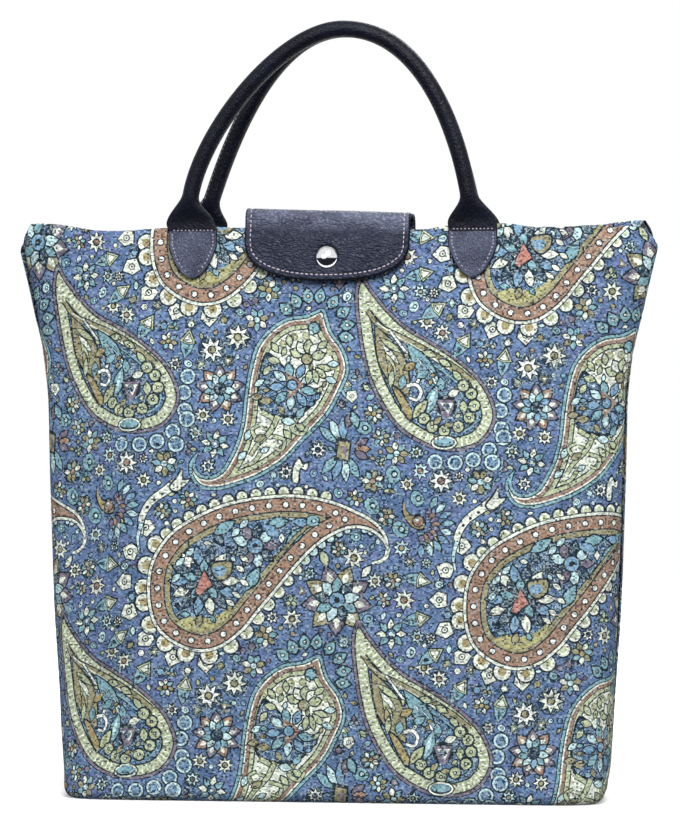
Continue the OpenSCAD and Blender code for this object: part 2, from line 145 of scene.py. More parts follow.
def path_run(points):
    """Length along a path at each of its points."""
    return np.concatenate([[0], np.cumsum(np.linalg.norm(np.diff(points, axis=0), axis=1))])


def on_path(at, run, points):
    """Points of a path at lengths along it."""
    return np.stack([np.interp(at, run, column) for column in np.transpose(points)], -1)


def grid(across, up):
    """Points of a flat grid."""
    x, y = np.meshgrid(across, up)
    return np.stack([x.ravel(), y.ravel()], 1)


def unit(v):
    return v / np.maximum(np.linalg.norm(v, axis=1, keepdims=True), 1e-9)


def area(p):
    return 0.5 * np.sum(p[:, 0] * np.roll(p[:, 1], -1) - np.roll(p[:, 0], -1) * p[:, 1])


def smooth(points, per, closed=True):
    """Curve through the points, with so many steps between two of them."""
    p = np.asarray(points, float)
    n = len(p)
    out = []
    for i in range(n if closed else n - 1):
        if closed:
            a, b, c, d = (p[(i + k) % n] for k in (-1, 0, 1, 2))
        else:
            a, b, c, d = p[max(i - 1, 0)], p[i], p[i + 1], p[min(i + 2, n - 1)]
        for t in np.arange(per) / per:
            out.append(0.5 * (2 * b + (c - a) * t + (2 * a - 5 * b + 4 * c - d) * t * t
                              + (3 * b - a - 3 * c + d) * t ** 3))
    return np.array(out if closed else out + [p[-1]])


def normals(p, closed=True):
    d = np.roll(p, -1, 0) - np.roll(p, 1, 0) if closed else np.gradient(p, axis=0)
    return unit(np.stack([d[:, 1], -d[:, 0]], 1))


def inset(p, d):
    """The outline d inside a closed one, without the loops that a sharp tip would give."""
    q = p + normals(p) * (-1 if area(p) > 0 else 1) * d
    mid = np.concatenate([p, (p + np.roll(p, -1, 0)) / 2])
    gap = np.sqrt(((q[:, None] - mid[None]) ** 2).sum(2)).min(1)
    return q[gap > abs(d) * 0.97 - 0.05]


def even(p, step):
    """Points and outward normals at equal steps along a closed outline."""
    closed = np.vstack([p, p[:1]])
    run = path_run(closed)
    count = max(int(round(run[-1] / step)), 1)
    at = np.arange(count) * run[-1] / count
    n = normals(p)
    out = unit(on_path(at, run, np.vstack([n, n[:1]])))
    return on_path(at, run, closed), out if area(p) > 0 else -out


def outline_room(line, pts):
    """Clear distance of points from a closed outline, below zero inside it."""
    best = np.full(len(pts), 1e9)
    odd = np.zeros(len(pts), bool)
    for p, v in zip(line, np.roll(line, -1, 0) - line):
        t = np.clip(((pts - p) @ v) / max(v @ v, 1e-12), 0, 1)
        best = np.minimum(best, np.linalg.norm(pts - p - t[:, None] * v, axis=1))
        if v[1] != 0:
            level = (p[1] > pts[:, 1]) != (p[1] + v[1] > pts[:, 1])
            odd ^= level & (pts[:, 0] < v[0] * (pts[:, 1] - p[1]) / v[1] + p[0])
    return np.where(odd, -best, best)


def inside_of(outline, pts, keep):
    """The points that lie in an outline, keep clear of it."""
    return pts[outline_room(outline, pts) < -keep]


# Shape of the bag
def plain_w(z):
    return mix(BASE_W / 2, WAIST_W - BASE_W / 2, z / BAG_H)


TIP_OUT = TOP_W / 2 - plain_w(BAG_H - TIP_DROP)


def half_w(z):
    return (plain_w(z) + TIP_OUT * share(BAG_H - TIP_H, BAG_H - TIP_DROP, z) ** 1.45
            - TIP_ROUND * share(BAG_H - TIP_DROP, BAG_H, z) ** 2)


def half_d(z):
    return mix(BASE_D, MOUTH_D, z / BAG_H) / 2 + BELLY * np.sin(math.pi * np.clip(z / BAG_H, 0, 1))


def quarter(z, count=161):
    """A quarter of the bag's outline at height z, from the front's middle to the seam, and its length."""
    w, d = half_w(z), half_d(z)
    square = mix(BASE_SQUARE, TOP_SQUARE, share(0, BAG_H / 2, z))
    blunt = mix(BASE_BLUNT, TOP_BLUNT, share(0, BAG_H / 2, z))
    x = np.linspace(0, 0.93 * w, 200)
    y = d * (1 - (x / w) ** square) ** (1 / blunt)
    side_y = np.linspace(y[-1], 0, 120)[1:]
    side_x = w * (1 - (side_y / d) ** blunt) ** (1 / square)
    path = np.stack([np.concatenate([x, side_x]), np.concatenate([y, side_y])], 1)
    run = path_run(path)
    return on_path(np.linspace(0, run[-1], count), run, path), run[-1]


LEVELS = np.linspace(0, BAG_H, 145)
QUARTERS = [quarter(z) for z in LEVELS]
RINGS = np.array([ring for ring, _ in QUARTERS])
GIRTH = np.array([length for _, length in QUARTERS])


def half_girth(z):
    return np.interp(z, LEVELS, GIRTH)


def wall(s, z):
    """Point of the front at cloth distance s from its middle, and its outward direction, at height z."""
    rows, columns = RINGS.shape[:2]
    outer = np.abs(s) / half_girth(z)
    up = np.clip(z / BAG_H, 0, 1) * (rows - 1)
    i = np.minimum(up.astype(int), rows - 2)
    out = np.clip(outer, 0, 1) * (columns - 1)
    k = np.minimum(out.astype(int), columns - 2)

    def look(table):
        a = mix(table[i, k], table[i + 1, k], up - i)
        b = mix(table[i, k + 1], table[i + 1, k + 1], up - i)
        return mix(a, b, out - k), b - a
    x, dx = look(RINGS[..., 0])
    y, dy = look(RINGS[..., 1])
    size = np.hypot(dx, dy)
    side = np.where(s < 0, -1.0, 1.0)
    slack = ease((outer - SLACK_FROM) / SLACK_OVER) * share(0, SLACK_LOW, z) * (1 - share(*SLACK_TOP, z))
    y = y * (1 - np.where(s < 0, SLACK_LEFT, SLACK_RIGHT) * slack)
    return x * side, -y, -dy / size * side, -dx / size


def top_wave(s):
    fine = np.arange(-210.0, 211.0)
    wave = np.interp(fine, *np.transpose(TOP_WAVE))
    return np.interp(s, fine, softened(wave, 17, mode="edge"))


def sag(s, z):
    """How far the cloth stands out of its plain form: soft hollows, quiet under the leather."""
    side = np.abs(s) / half_girth(z)
    d = BROAD_SAG * np.sin(s / 43 + z / 61 + 0.6) * np.sin(z / 52 - s / 97 + 1.1)
    d = d + SMALL_SAG * np.sin(s / 17 - z / 29 + 2) * np.sin(z / 23 + s / 31)
    for depth, place, lean, width, low, high in CORNER_FOLDS:
        d = d + depth * ridge(np.abs(s) - (BAG_H - z) * lean, place, width) * share(low, high, z)
    d = d - LOW_SAG * ridge(z, 24, 15) * (0.5 + 0.5 * np.sin(s / 37 + 0.8))
    d = d * (1 - share(0.9, 1, side) * 0.6) * share(0, 14, z)
    quiet = share(300, 325, z) * (np.abs(s) < UNDER_LEATHER_X)
    d = np.where(quiet > 0, mix(d, np.minimum(d, 0) * 0.25, quiet), d)
    rounded = np.where(s < 0, np.sin(math.pi * share(50, 310, z)), share(265, 305, z))
    d = d + SHOULDER * share(0.78, 0.95, side) * rounded
    d = d - CORNER_TUCK * share(30, 2, z) ** 2 * share(0.86, 0.97, side)
    return d * (1 - share(352, 362, z)) - SEAM_DIP * ridge((1 - side) * half_girth(z), 0, 1.6)


HEM_R = HEM_T / 2
TOP_0 = BAG_H - HEM_R
T_LOW = BASE_R - BASE_R * math.pi / 2 - 1.5
T_HIGH = TOP_0 + math.pi * HEM_R + HEM_H - 0.6


def panel_point(s, t):
    """The front panel's cloth: s across and t up it, rolled under at the base and folded in at the top."""
    turn = np.clip((BASE_R - t) / BASE_R, 0, math.pi / 2)
    under = np.clip(BASE_R - BASE_R * math.pi / 2 - t, 0, None)
    over = np.clip(t - TOP_0, 0, None)
    roll = np.clip(over / HEM_R, 0, math.pi)
    down = np.clip(over - math.pi * HEM_R, 0, None)
    z = np.where(t < BASE_R, BASE_R * (1 - np.sin(turn)), np.minimum(t, TOP_0))
    inward = BASE_R * (1 - np.cos(turn)) + under + HEM_R * (1 - np.cos(roll))
    level = np.where(over > 0, TOP_0 - down, z)
    x, y, nx, ny = wall(s, level)
    out = sag(s, level) * (1 - share(0, math.pi, roll)) - inward
    z = np.where(over > 0, TOP_0 + HEM_R * np.sin(roll) - down, z)
    z = z + top_wave(s) * share(290, 358, level) ** 2
    return np.stack([x + nx * out, y + ny * out, z], -1)


def cloth_normals(s, t, step=0.4):
    across = panel_point(s + step, t) - panel_point(s - step, t)
    up = panel_point(s, t + step) - panel_point(s, t - step)
    return unit(np.cross(across, up))


# Meshes
def mesh_object(name, points, faces, materials, slots=None):
    """Mesh from points in mm and triangles or quads."""
    mesh = bpy.data.meshes.new(name)
    mesh.from_pydata((np.asarray(points) * MM).tolist(), [], [tuple(map(int, f)) for f in faces])
    for m in materials:
        mesh.materials.append(m)
    if slots is not None:
        mesh.polygons.foreach_set("material_index", np.asarray(slots, np.int32))
    mesh.polygons.foreach_set("use_smooth", np.full(len(mesh.polygons), True))
    mesh.update()
    obj = bpy.data.objects.new(name, mesh)
    bpy.context.scene.collection.objects.link(obj)
    return obj


def add_rest(obj, rest):
    """Keeps each point's place in the flat leather or cloth, in mm, for its texture."""
    layer = obj.data.attributes.new("Rest", "FLOAT_VECTOR", "POINT")
    layer.data.foreach_set("vector", np.asarray(rest, np.float32).ravel())


def grid_faces(rows, columns, closed):
    faces = []
    for j in range(rows - 1):
        for i in range(columns if closed else columns - 1):
            k = (i + 1) % columns
            faces.append((j * columns + i, j * columns + k, (j + 1) * columns + k, (j + 1) * columns + i))
    return faces


def flat_mesh(outline, shapes, loose):
    """Triangles of a flat outline cut along the shapes laid on it, each with its topmost shape's number."""
    points, faces, count = [], [], 0
    for p in [outline] + shapes:
        p = np.asarray(p)
        points.append(p if area(p) > 0 else p[::-1])
        faces.append(list(range(count, count + len(p))))
        count += len(p)
    vectors = [Vector(p) for p in np.concatenate(points + [loose])]
    out, _, tris, _, _, ids = delaunay_2d_cdt(vectors, [], faces, 1, 1e-3, True)
    kept = [(t, max(i)) for t, i in zip(tris, ids) if 0 in i]
    tris = np.array([t for t, _ in kept])
    top = np.array([i for _, i in kept])
    used, back = np.unique(tris, return_inverse=True)
    return np.array([out[i][:] for i in used]), back.reshape(tris.shape), top


STITCH_SIDES = 6
STITCH_STEPS = ((-0.5, 0.25), (-0.36, 0.85), (0.0, 1.0), (0.36, 0.85), (0.5, 0.25))


def stitches(rows, length, r, flat=0.75):
    """Little rounded rods; a row has a centre, the direction along the stitch and the one it stands up in."""
    ring = np.linspace(0, TURN, STITCH_SIDES + 1)[:-1]
    quads = grid_faces(len(STITCH_STEPS), STITCH_SIDES, True)
    ends = [tuple(range(STITCH_SIDES)), tuple(range(len(STITCH_STEPS) * STITCH_SIDES))[:-STITCH_SIDES - 1:-1]]
    rod = [f[::-1] for f in quads] + ends
    points, faces = [], []
    for row in rows:
        centre, along, up = (np.array(v, float) for v in row)
        along /= np.linalg.norm(along)
        up -= along * np.dot(up, along)
        up /= np.linalg.norm(up)
        across = np.cross(along, up)
        faces += [tuple(len(points) + i for i in f) for f in rod]
        for k, size in STITCH_STEPS:
            sink = -0.35 * r * (abs(k) * 2) ** 2
            for a in ring:
                lift = math.sin(a) * r * size * flat + sink
                points.append(centre + along * k * length + across * math.cos(a) * r * size + up * lift)
    return np.array(points), faces


def sewn_object(name, points, faces, slots, rest, sewn, materials):
    """Mesh of a sheet with its stitches, which take the second material."""
    for stitch_points, stitch_faces in sewn:
        faces = faces + [tuple(i + len(points) for i in f) for f in stitch_faces]
        slots = slots + [1] * len(stitch_faces)
        rest = np.concatenate([rest, np.zeros((len(stitch_points), 3))])
        points = np.concatenate([points, stitch_points])
    obj = mesh_object(name, points, faces, materials, slots)
    add_rest(obj, rest)
    return obj


# Materials
def feed(tree, socket, value):
    """Links a node's output to a socket, or sets the socket to a plain value."""
    if hasattr(value, "is_output"):
        tree.links.new(value, socket)
    else:
        socket.default_value = value


def material(name, **inputs):
    """New material and its node tree; inputs of its shader have _ for a space in their names."""
    m = bpy.data.materials.new(name)
    m.use_nodes = True
    shade(m.node_tree, **inputs)
    return m, m.node_tree


def shade(tree, **inputs):
    for name, value in inputs.items():
        feed(tree, tree.nodes["Principled BSDF"].inputs[name.replace("_", " ")], value)


def node(tree, kind, inputs=None, **props):
    n = tree.nodes.new(kind)
    for k, v in props.items():
        setattr(n, k, v)
    for k, v in (inputs or {}).items():
        feed(tree, n.inputs[k], v)
    return n.outputs


def math_node(tree, op, a, b=0.0):
    return node(tree, "ShaderNodeMath", {0: a, 1: b}, operation=op)[0]


def vector_node(tree, op, *values):
    return node(tree, "ShaderNodeVectorMath", dict(enumerate(values)), operation=op)


def blend_colour(tree, factor, a, b, kind="MIX"):
    n = tree.nodes.new("ShaderNodeMix")
    n.data_type = "RGBA"
    n.blend_type = kind
    for name, v in (("Factor_Float", factor), ("A_Color", a), ("B_Color", b)):
        feed(tree, next(i for i in n.inputs if i.identifier == name), v)
    return next(o for o in n.outputs if o.identifier == "Result_Color")


def ranged(tree, value, low, high, a=0.0, b=1.0):
    return node(tree, "ShaderNodeMapRange", {0: value, 1: a, 2: b, 3: low, 4: high})[0]


def noise(tree, place, scale, detail, bend=0.0):
    inputs = {"Vector": place, "Scale": scale, "Detail": detail, "Distortion": bend}
    return node(tree, "ShaderNodeTexNoise", inputs)


def wave(tree, value, pitch):
    return math_node(tree, "SINE", math_node(tree, "MULTIPLY", value, TURN / pitch))


def weave_of(tree, place, pitch_x, pitch_y):
    """Height of a plain weave."""
    x, y, _ = node(tree, "ShaderNodeSeparateXYZ", {0: place})
    return math_node(tree, "MULTIPLY", wave(tree, x, pitch_x), wave(tree, y, pitch_y))


def bump(tree, height, strength, distance):
    inputs = {"Strength": strength, "Distance": distance, "Height": height}
    shade(tree, Normal=node(tree, "ShaderNodeBump", inputs)[0])


def rest_place(tree):
    return node(tree, "ShaderNodeAttribute", attribute_name="Rest")["Vector"]


def object_place(tree):
    return node(tree, "ShaderNodeTexCoord")["Object"]


# Alpha of the printed colours that carry fine drawn lines, and those lines: level, width, colour
BUSY = 0.5
BUSY_COLOURS = ("deep", "blue")
DRAWN_LINES = (
    (0.5, 0.022, "#d7e5e0"), (0.555, 0.042, "#08131d"), (0.43, 0.022, "#86b3ba"), (0.38, 0.03, "#08131d"))
GROUND, GROUND_DEEP, GROUND_VIOLET = "#6884ae", "#4a6791", "#6b75a3"
THREAD_X, THREAD_Y = 1.25, 0.95


def printed_colour(tree, place):
    """The print's colours over a mottled ground, with fine lines drawn on the busy ones."""
    ink = node(tree, "ShaderNodeAttribute", attribute_name="Print")
    red, green, _ = node(tree, "ShaderNodeSeparateColor", {0: noise(tree, place, 0.11, 3.0)["Color"]})
    ground = blend_colour(tree, ranged(tree, red, 0, 0.9, 0.45, 0.65), rgba(GROUND), rgba(GROUND_DEEP))
    ground = blend_colour(tree, ranged(tree, green, 0, 0.7, 0.5, 0.66), ground, rgba(GROUND_VIOLET))
    covered = math_node(tree, "MINIMUM", math_node(tree, "MULTIPLY", ink["Alpha"], 2.0), 1.0)
    colour = blend_colour(tree, covered, ground, ink["Color"])
    off_busy = math_node(tree, "ABSOLUTE", math_node(tree, "SUBTRACT", ink["Alpha"], BUSY))
    busy = ranged(tree, off_busy, 0.9, 0.08, 0.0, 0.5)
    field = noise(tree, place, 0.3, 1.5, 0.8)[0]
    for level, width, code in DRAWN_LINES:
        near = math_node(tree, "ABSOLUTE", math_node(tree, "SUBTRACT", field, level))
        drawn = math_node(tree, "MULTIPLY", ranged(tree, near, 1, 0, width * 0.4, width), busy)
        colour = blend_colour(tree, drawn, colour, rgba(code))
    return colour


def tapestry(name, size):
    """Woven cloth: the print's fields of colour broken up thread by thread."""
    m, tree = material(name, Roughness=0.86, Specular_IOR_Level=0.08)
    uv = node(tree, "ShaderNodeUVMap", uv_map="OFBake")[0]
    place = vector_node(tree, "MULTIPLY", uv, (*size, 0))[0]
    cell = vector_node(tree, "SNAP", place, (THREAD_X, THREAD_Y, 1))[0]
    grain = node(tree, "ShaderNodeTexWhiteNoise", {"Vector": cell}, noise_dimensions="3D")["Color"]
    shade_of, tint, fleck = node(tree, "ShaderNodeSeparateColor", {0: grain})
    cloud = ranged(tree, noise(tree, place, 0.035, 2.0)[0], 0.93, 1.07, 0.3, 0.7)
    level = math_node(tree, "MULTIPLY", ranged(tree, shade_of, 0.6, 1.34), cloud)
    grey = node(tree, "ShaderNodeCombineColor", {0: level, 1: level, 2: level})[0]
    colour = blend_colour(tree, 1.0, printed_colour(tree, place), grey, "MULTIPLY")
    colour = blend_colour(tree, ranged(tree, tint, 0.0, 0.12), colour, rgba("#8799b0"))
    colour = blend_colour(tree, ranged(tree, fleck, 0.0, 0.5, 0.84, 1.0), colour, rgba("#c9d6d8"))
    colour = blend_colour(tree, ranged(tree, fleck, 0.95, 0.0, 0.0, 0.22), colour, rgba("#121d29"))
    shade(tree, Base_Color=colour)
    weave = weave_of(tree, place, THREAD_X, THREAD_Y)
    bump(tree, math_node(tree, "ADD", weave, math_node(tree, "MULTIPLY", shade_of, 0.8)), 0.35, 0.0004)
    return m


def leather(name, dark, light, grain, stretch, rough, shine, relief, split, painted_sheen=()):
    """Pebbled leather whose grain crowns are lighter and creases darker, partly as wear and partly as painted
    highlight and painted shade; ramps along its length paint highlight and shade into its tone.
    """
    m, tree = material(name, Specular_IOR_Level=shine)
    rest = rest_place(tree)
    drift = noise(tree, rest, 0.16, 3.0)["Color"]
    place = vector_node(tree, "MULTIPLY_ADD", drift, (5.0, 5.0, 0.0), rest)[0]
    place = vector_node(tree, "MULTIPLY", place, (stretch, 1.0, 1.0))[0]
    cells = {"Vector": place, "Scale": 0.5 * grain}
    pebble = node(tree, "ShaderNodeTexVoronoi", cells, feature="F1")["Distance"]
    # Grain crowns lighter and creases darker in the colour: partly wear, partly painted highlight on the
    # crowns and painted shade in the creases
    crown_wear_and_highlight = ranged(tree, pebble, 1, 0, 0.12, 0.55)
    worn = ranged(tree, noise(tree, rest, 0.06, 3.0)[0], 0.35, 0.9, 0.38, 0.62)
    tone = math_node(tree, "MULTIPLY", ranged(tree, crown_wear_and_highlight, 0.55 * (1 - split), 0.55 + 0.45 * split), worn)
    along = node(tree, "ShaderNodeSeparateXYZ", {0: rest})[1]
    # Painted highlight and painted shade: ramps that scale the tone along the leather's length
    for low, high, start, end in painted_sheen:
        tone = math_node(tree, "MULTIPLY", tone, ranged(tree, along, low, high, start, end))
    shade(tree, Base_Color=blend_colour(tree, tone, rgba(dark), rgba(light)))
    shade(tree, Roughness=ranged(tree, crown_wear_and_highlight, rough + 0.12, rough - 0.06))
    bump(tree, math_node(tree, "SUBTRACT", 1.0, pebble), 1.0, relief)
    return m


def thread(name, colour):
    """Sewing thread with its twist."""
    m, tree = material(name, Roughness=0.6)
    inputs = {"Vector": object_place(tree), "Scale": 900.0, "Distortion": 1.5}
    twist = node(tree, "ShaderNodeTexWave", inputs, bands_direction="DIAGONAL")[1]
    shade(tree, Base_Color=blend_colour(tree, ranged(tree, twist, 0, 0.45), rgba(colour), rgba("#8d86a0")))
    bump(tree, twist, 0.4, 0.0001)
    return m


def weave_cloth(name, dark, light, pitch):
    """Plain woven cloth of one colour, from the place of each point in mm."""
    m, tree = material(name, Roughness=0.8, Sheen_Weight=0.1)
    rest = rest_place(tree)
    weave = weave_of(tree, rest, pitch, pitch)
    tone = math_node(tree, "ADD", math_node(tree, "MULTIPLY", weave, 0.2), noise(tree, rest, 0.2, 4.0)[0])
    shade(tree, Base_Color=blend_colour(tree, tone, rgba(dark), rgba(light)))
    bump(tree, weave, 0.4, 0.0002)
    return m


def metal(name, colour, rough):
    """Plated metal with a faint brushed film."""
    m, tree = material(name, Metallic=1.0)
    film = noise(tree, object_place(tree), 420.0, 5.0)[0]
    shade(tree, Base_Color=blend_colour(tree, film, rgba(colour), rgba("#f2f2f4")))
    shade(tree, Roughness=ranged(tree, film, rough * 0.6, rough * 1.7, 0.3, 0.7))
    bump(tree, film, 0.04, 0.0001)
    return m


def moulded(name, dark, light):
    """Moulded plastic with slight clouding."""
    m, tree = material(name)
    cloud = noise(tree, object_place(tree), 260.0, 4.0)[0]
    shade(tree, Base_Color=blend_colour(tree, cloud, rgba(dark), rgba(light)))
    shade(tree, Roughness=ranged(tree, cloud, 0.3, 0.55, 0.3, 0.7))
    bump(tree, cloud, 0.1, 0.0002)
    return m


# Painted light on the flap: a painted highlight just below its bend, painted shade over the bend and below
# the highlight: tone from, to, between two lengths along it
FLAP_PAINTED_SHEEN = ((0.35, 1.0, 62.0, 72.0), (2.4, 0.22, 72.5, 84.0))
FLAP_LEATHER = leather("FlapLeather", "#141a2d", "#767c93", 1.6, 0.55, 0.36, 0.22, 0.0008, 0.45, FLAP_PAINTED_SHEEN)
TAB_LEATHER = leather("TabLeather", "#1e2438", "#747a91", 1.7, 0.8, 0.38, 0.22, 0.0006, 0.4)
# Near-black copy of the leather: on the flares and grips its darkness is partly painted shade; it also serves
# as edge paint and as the painted shade round the flap's cap
DARK_LEATHER_AND_SHADE = leather("DarkLeatherAndShade", "#06070f", "#171b2f", 1.6, 0.7, 0.36, 0.14, 0.0003, 0.4)
FLAP_THREAD = thread("FlapThread", "#cdbdc6")
TAB_THREAD = thread("TabThread", "#a5a0b2")
LINING_CLOTH = weave_cloth("LiningCloth", "#2a2f45", "#424865", 0.9)
TAPE_CLOTH = weave_cloth("TapeCloth", "#171b2c", "#2a3049", 1.1)
CHROME = metal("Chrome", "#d4d5da", 0.07)
BRUSHED = metal("BrushedMetal", "#b9bac0", 0.22)
TEETH = moulded("ZipTeeth", "#14172a", "#2a2f48")
TAPE_THREAD = thread("TapeThread", "#3b415c")

# The print, drawn in photo pixels
RNG = np.random.default_rng(7)
SHAPES = []
OUTLINES = []
REPEAT = (np.array((316.4, 18.4)), np.array((-3.2, 346.2)))
RIM = 1.5


def add(poly, colour):
    p = np.asarray(poly, float)
    if len(p) >= 3:
        SHAPES.append((p, colour))


def draw(rows):
    """Draws each row of a table: a drawing function and what it is given."""
    for kind, *how in rows:
        kind(*how)


def spot(c, r, a):
    """Point at distance r and angle a from c."""
    return (c[0] + r * math.cos(a), c[1] + r * math.sin(a))


def turns(count, start=0.0):
    return [start + TURN * i / count for i in range(count)]


def placed(points, c, turn, size=1.0):
    """Points turned, sized and moved to c."""
    x, y = np.transpose(np.asarray(points, float))
    co, si = math.cos(turn), math.sin(turn)
    return np.stack([c[0] + (x * co - y * si) * size, c[1] + (x * si + y * co) * size], 1)


def disc(c, r, n=10, ry=None, turn=0.0):
    a = np.linspace(0, TURN, n, endpoint=False)
    return placed(np.stack([r * np.cos(a), (r if ry is None else ry) * np.sin(a)], 1), c, turn)


def rings(c, *layers):
    """Discs on one middle, each a radius, a number of points and a colour."""
    for r, n, colour in layers:
        add(disc(c, r, n), colour)


def oval(c, r, n, ry, colour):
    add(disc(c, r, n, ry), colour)


def rim_disc(c, r, fill, w=1.2, n=10, line="navy"):
    rings(c, (r + RIM * w, n, line), (r, n, fill))


def leaf(base, turn, length, width, blunt=1.0):
    """Pointed leaf from its base along the angle turn."""
    t = np.linspace(0, 1, 5 if abs(length) < 22 else 7)
    w = width / 2 * np.sin(math.pi * t ** blunt)
    upper = np.stack([t * length, w], 1)
    lower = np.stack([t * length, -w], 1)[::-1][1:-1]
    return placed(np.vstack([upper, lower]), base, turn)


def plain_leaf(base, turn, length, width, fill):
    add(leaf(base, turn, length, width), fill)


def rim_leaf(base, turn, length, width, fill, w=1.2, blunt=1.0, line="navy"):
    rim = RIM * w
    add(leaf(spot(base, -RIM * rim, turn), turn, length + 2 * RIM * rim, width + 2 * rim, blunt), line)
    add(leaf(base, turn, length, width, blunt), fill)


def wheel(c, r, angles, length, width, colours, w=1.0, blunt=1.0):
    """Rimmed leaves that point away from c, from r on, in their colours' order."""
    for i, a in enumerate(angles):
        rim_leaf(spot(c, r, a), a, length, width, colours[i % len(colours)], w, blunt)


def stroke(points, start, end, colour, per=5, edge=1.0):
    """A line that runs from one width to another, with a navy edge."""
    p = smooth(points, per, False)
    n = normals(p, False)
    w = np.linspace(start, end, len(p))[:, None] / 2
    for grow, fill in ((edge, "navy"), (0, colour)) if edge else ((0, colour),):
        add(np.vstack([p + n * (w + grow), (p - n * (w + grow))[::-1]]), fill)


def rimmed(outer, inner, fill, per=4):
    """Curved shape in a navy one."""
    add(smooth(outer, per), "navy")
    add(smooth(inner, per), fill)


def bands(outline, layers):
    for d, colour in layers:
        add(outline if d == 0 else inset(outline, d), colour)


# Motifs of the print
def star(c, r, petals=8, turn=0.0, fill="cream", heart="olive"):
    """Small flower with pointed petals round a dot."""
    for grow, colour in ((2.1, "navy"), (0, fill)):
        reach = (r + grow, r * 0.52 + grow)
        add([spot(c, reach[i % 2], a) for i, a in enumerate(turns(2 * petals, turn))], colour)
    rim_disc(c, r * 0.26, heart, 1.0, 8)


def double(c, r, turn=0.0):
    """Flower of eight aqua and cream petals with a navy eye."""
    wheel(c, 0.25 * r, turns(8, turn), r * 0.75, r * 0.42, ("cream", "aqua"), 1.1, 0.75)
    rim_disc(c, r * 0.3, "blue", 1.0, 8)
    add(disc(c, r * 0.13, 6), "cream")


def burst(c, r, turn, outer=("mauve", "olive"), inner="deep", heart="sky"):
    """Many-pointed flower head, brown and olive outside, blue inside."""
    for i, a in enumerate(turns(9, turn)):
        rim_leaf(spot(c, 0.35 * r, a), a, r * 0.68, r * 0.46, outer[i % 2], 1.2, 0.8)
        plain_leaf(spot(c, 0.42 * r, a), a, r * 0.44, r * 0.2, "cream")
    wheel(c, 0.12 * r, turns(9, turn + math.pi / 9), r * 0.55, r * 0.3, ("aqua", inner, "pale"))
    rim_disc(c, r * 0.22, heart, 1.2, 9)
    add(disc(c, r * 0.1, 6), "navy")


def curl(c, r, turn, colour="aqua"):
    """Round leaf with a dark eye."""
    add(disc(c, r + 1.2, 10, (r + 1.2) * 0.8, turn), "navy")
    add(disc(c, r, 10, r * 0.8, turn), colour)
    eye = (c[0] + 0.15 * r, c[1])
    add(disc(eye, r * 0.5, 8, r * 0.4, turn), "navy")
    add(disc(eye, r * 0.26, 6), "pale")


def half_petal(c, r):
    """Pale outlined round petal that leans on a boteh."""
    rim_disc(c, r, "pale", 1.0, 12)
    rings(c, (r * 0.74, 10, "blue"), (r * 0.36, 8, "sky"))


DROP_TAIL = np.array(((2, -7), (2, 7), (12, 5), (20, 0), (12, -5)))
DROP_HEART = ((8, -3), (8, 3), (18, 0))
DROP_HEAD = np.array(((-10, 0), (3, -8), (5, 0), (3, 8)))


def drop(c, turn, size):
    """Cream triangle in an olive frame with an aqua tail."""
    tail = ((DROP_TAIL * (1.12, 1.22) - (0.6, 0), "navy"), (DROP_TAIL, "aqua"), (DROP_HEART, "deep"))
    head = ((DROP_HEAD * (1.25, 1.28) - (0.4, 0), "navy"), (DROP_HEAD, "green"),
            (DROP_HEAD * (0.78, 0.76), "navy"), (DROP_HEAD * (0.6, 0.58), "cream"))
    for points, colour in tail + head:
        add(placed(points, c, turn, size), colour)


CREAM_PETAL = ((-7, -6), (2, -8), (10, 0), (2, 8), (-7, 6))


def cream_petal(c, turn, size):
    """Cream five-cornered petal with a little spiral."""
    add(placed(CREAM_PETAL, c, turn, size * 1.2), "navy")
    add(placed(CREAM_PETAL, c, turn, size), "cream")
    rings(c, (3.6 * size, 9, "navy"), (2.5 * size, 8, "cream"), (1.1 * size, 6, "navy"))


# Olive boteh that leans to the right
A_LINE = (
    (358, 619), (369, 634), (385, 654), (404, 672), (429, 687), (455, 704), (478, 725), (491, 748),
    (493, 768), (481, 788), (462, 797), (440, 798), (416, 790), (391, 772), (372, 742), (361, 714),
    (354, 677), (351, 640))
A_PETALS = ((497, 757), (501, 741), (498, 775), (486, 796), (470, 806), (452, 809), (432, 808))
A_BORDER = ((0, "navy"), (1.0, "mauve"), (3.6, "navy"), (4.8, "green"))
A_TICK = ((-0.9, -3.9), (0.9, -3.6), (1.5, 3.9), (-0.3, 3.6))
A_INNER = ((14.4, "navy"), (15.9, "blue"), (19.0, "aqua"), (20.6, "navy"), (21.8, "blue"))
A_STEMS = (
    (stroke, ((364, 656), (376, 672), (398, 684), (424, 698), (452, 716), (468, 730)), 3.0, 9.0, "olive",
     5, 1.2),
    (stroke, ((372, 668), (396, 684), (420, 698), (446, 715)), 1.2, 1.6, "cream", 4, 0),
    (rim_leaf, (436, 706), 0.5, 13, 6, "green", 1.0), (rim_leaf, (450, 717), 0.9, 13, 6, "green", 1.0),
    (rim_leaf, (462, 726), 1.2, 13, 6, "green", 1.0), (rim_leaf, (420, 698), 0.3, 13, 6, "green", 1.0),
    (rim_leaf, (372, 672), 1.13, 78, 25, "olive", 1.4, 1.1))
A_FAN_START, A_FAN_STEP = np.array((377, 684)), np.array((3, 8))
A_FAN = ((0.62, "green"), (0.86, "cream"), (1.12, "green"), (1.4, "gold"), (1.66, "green"))
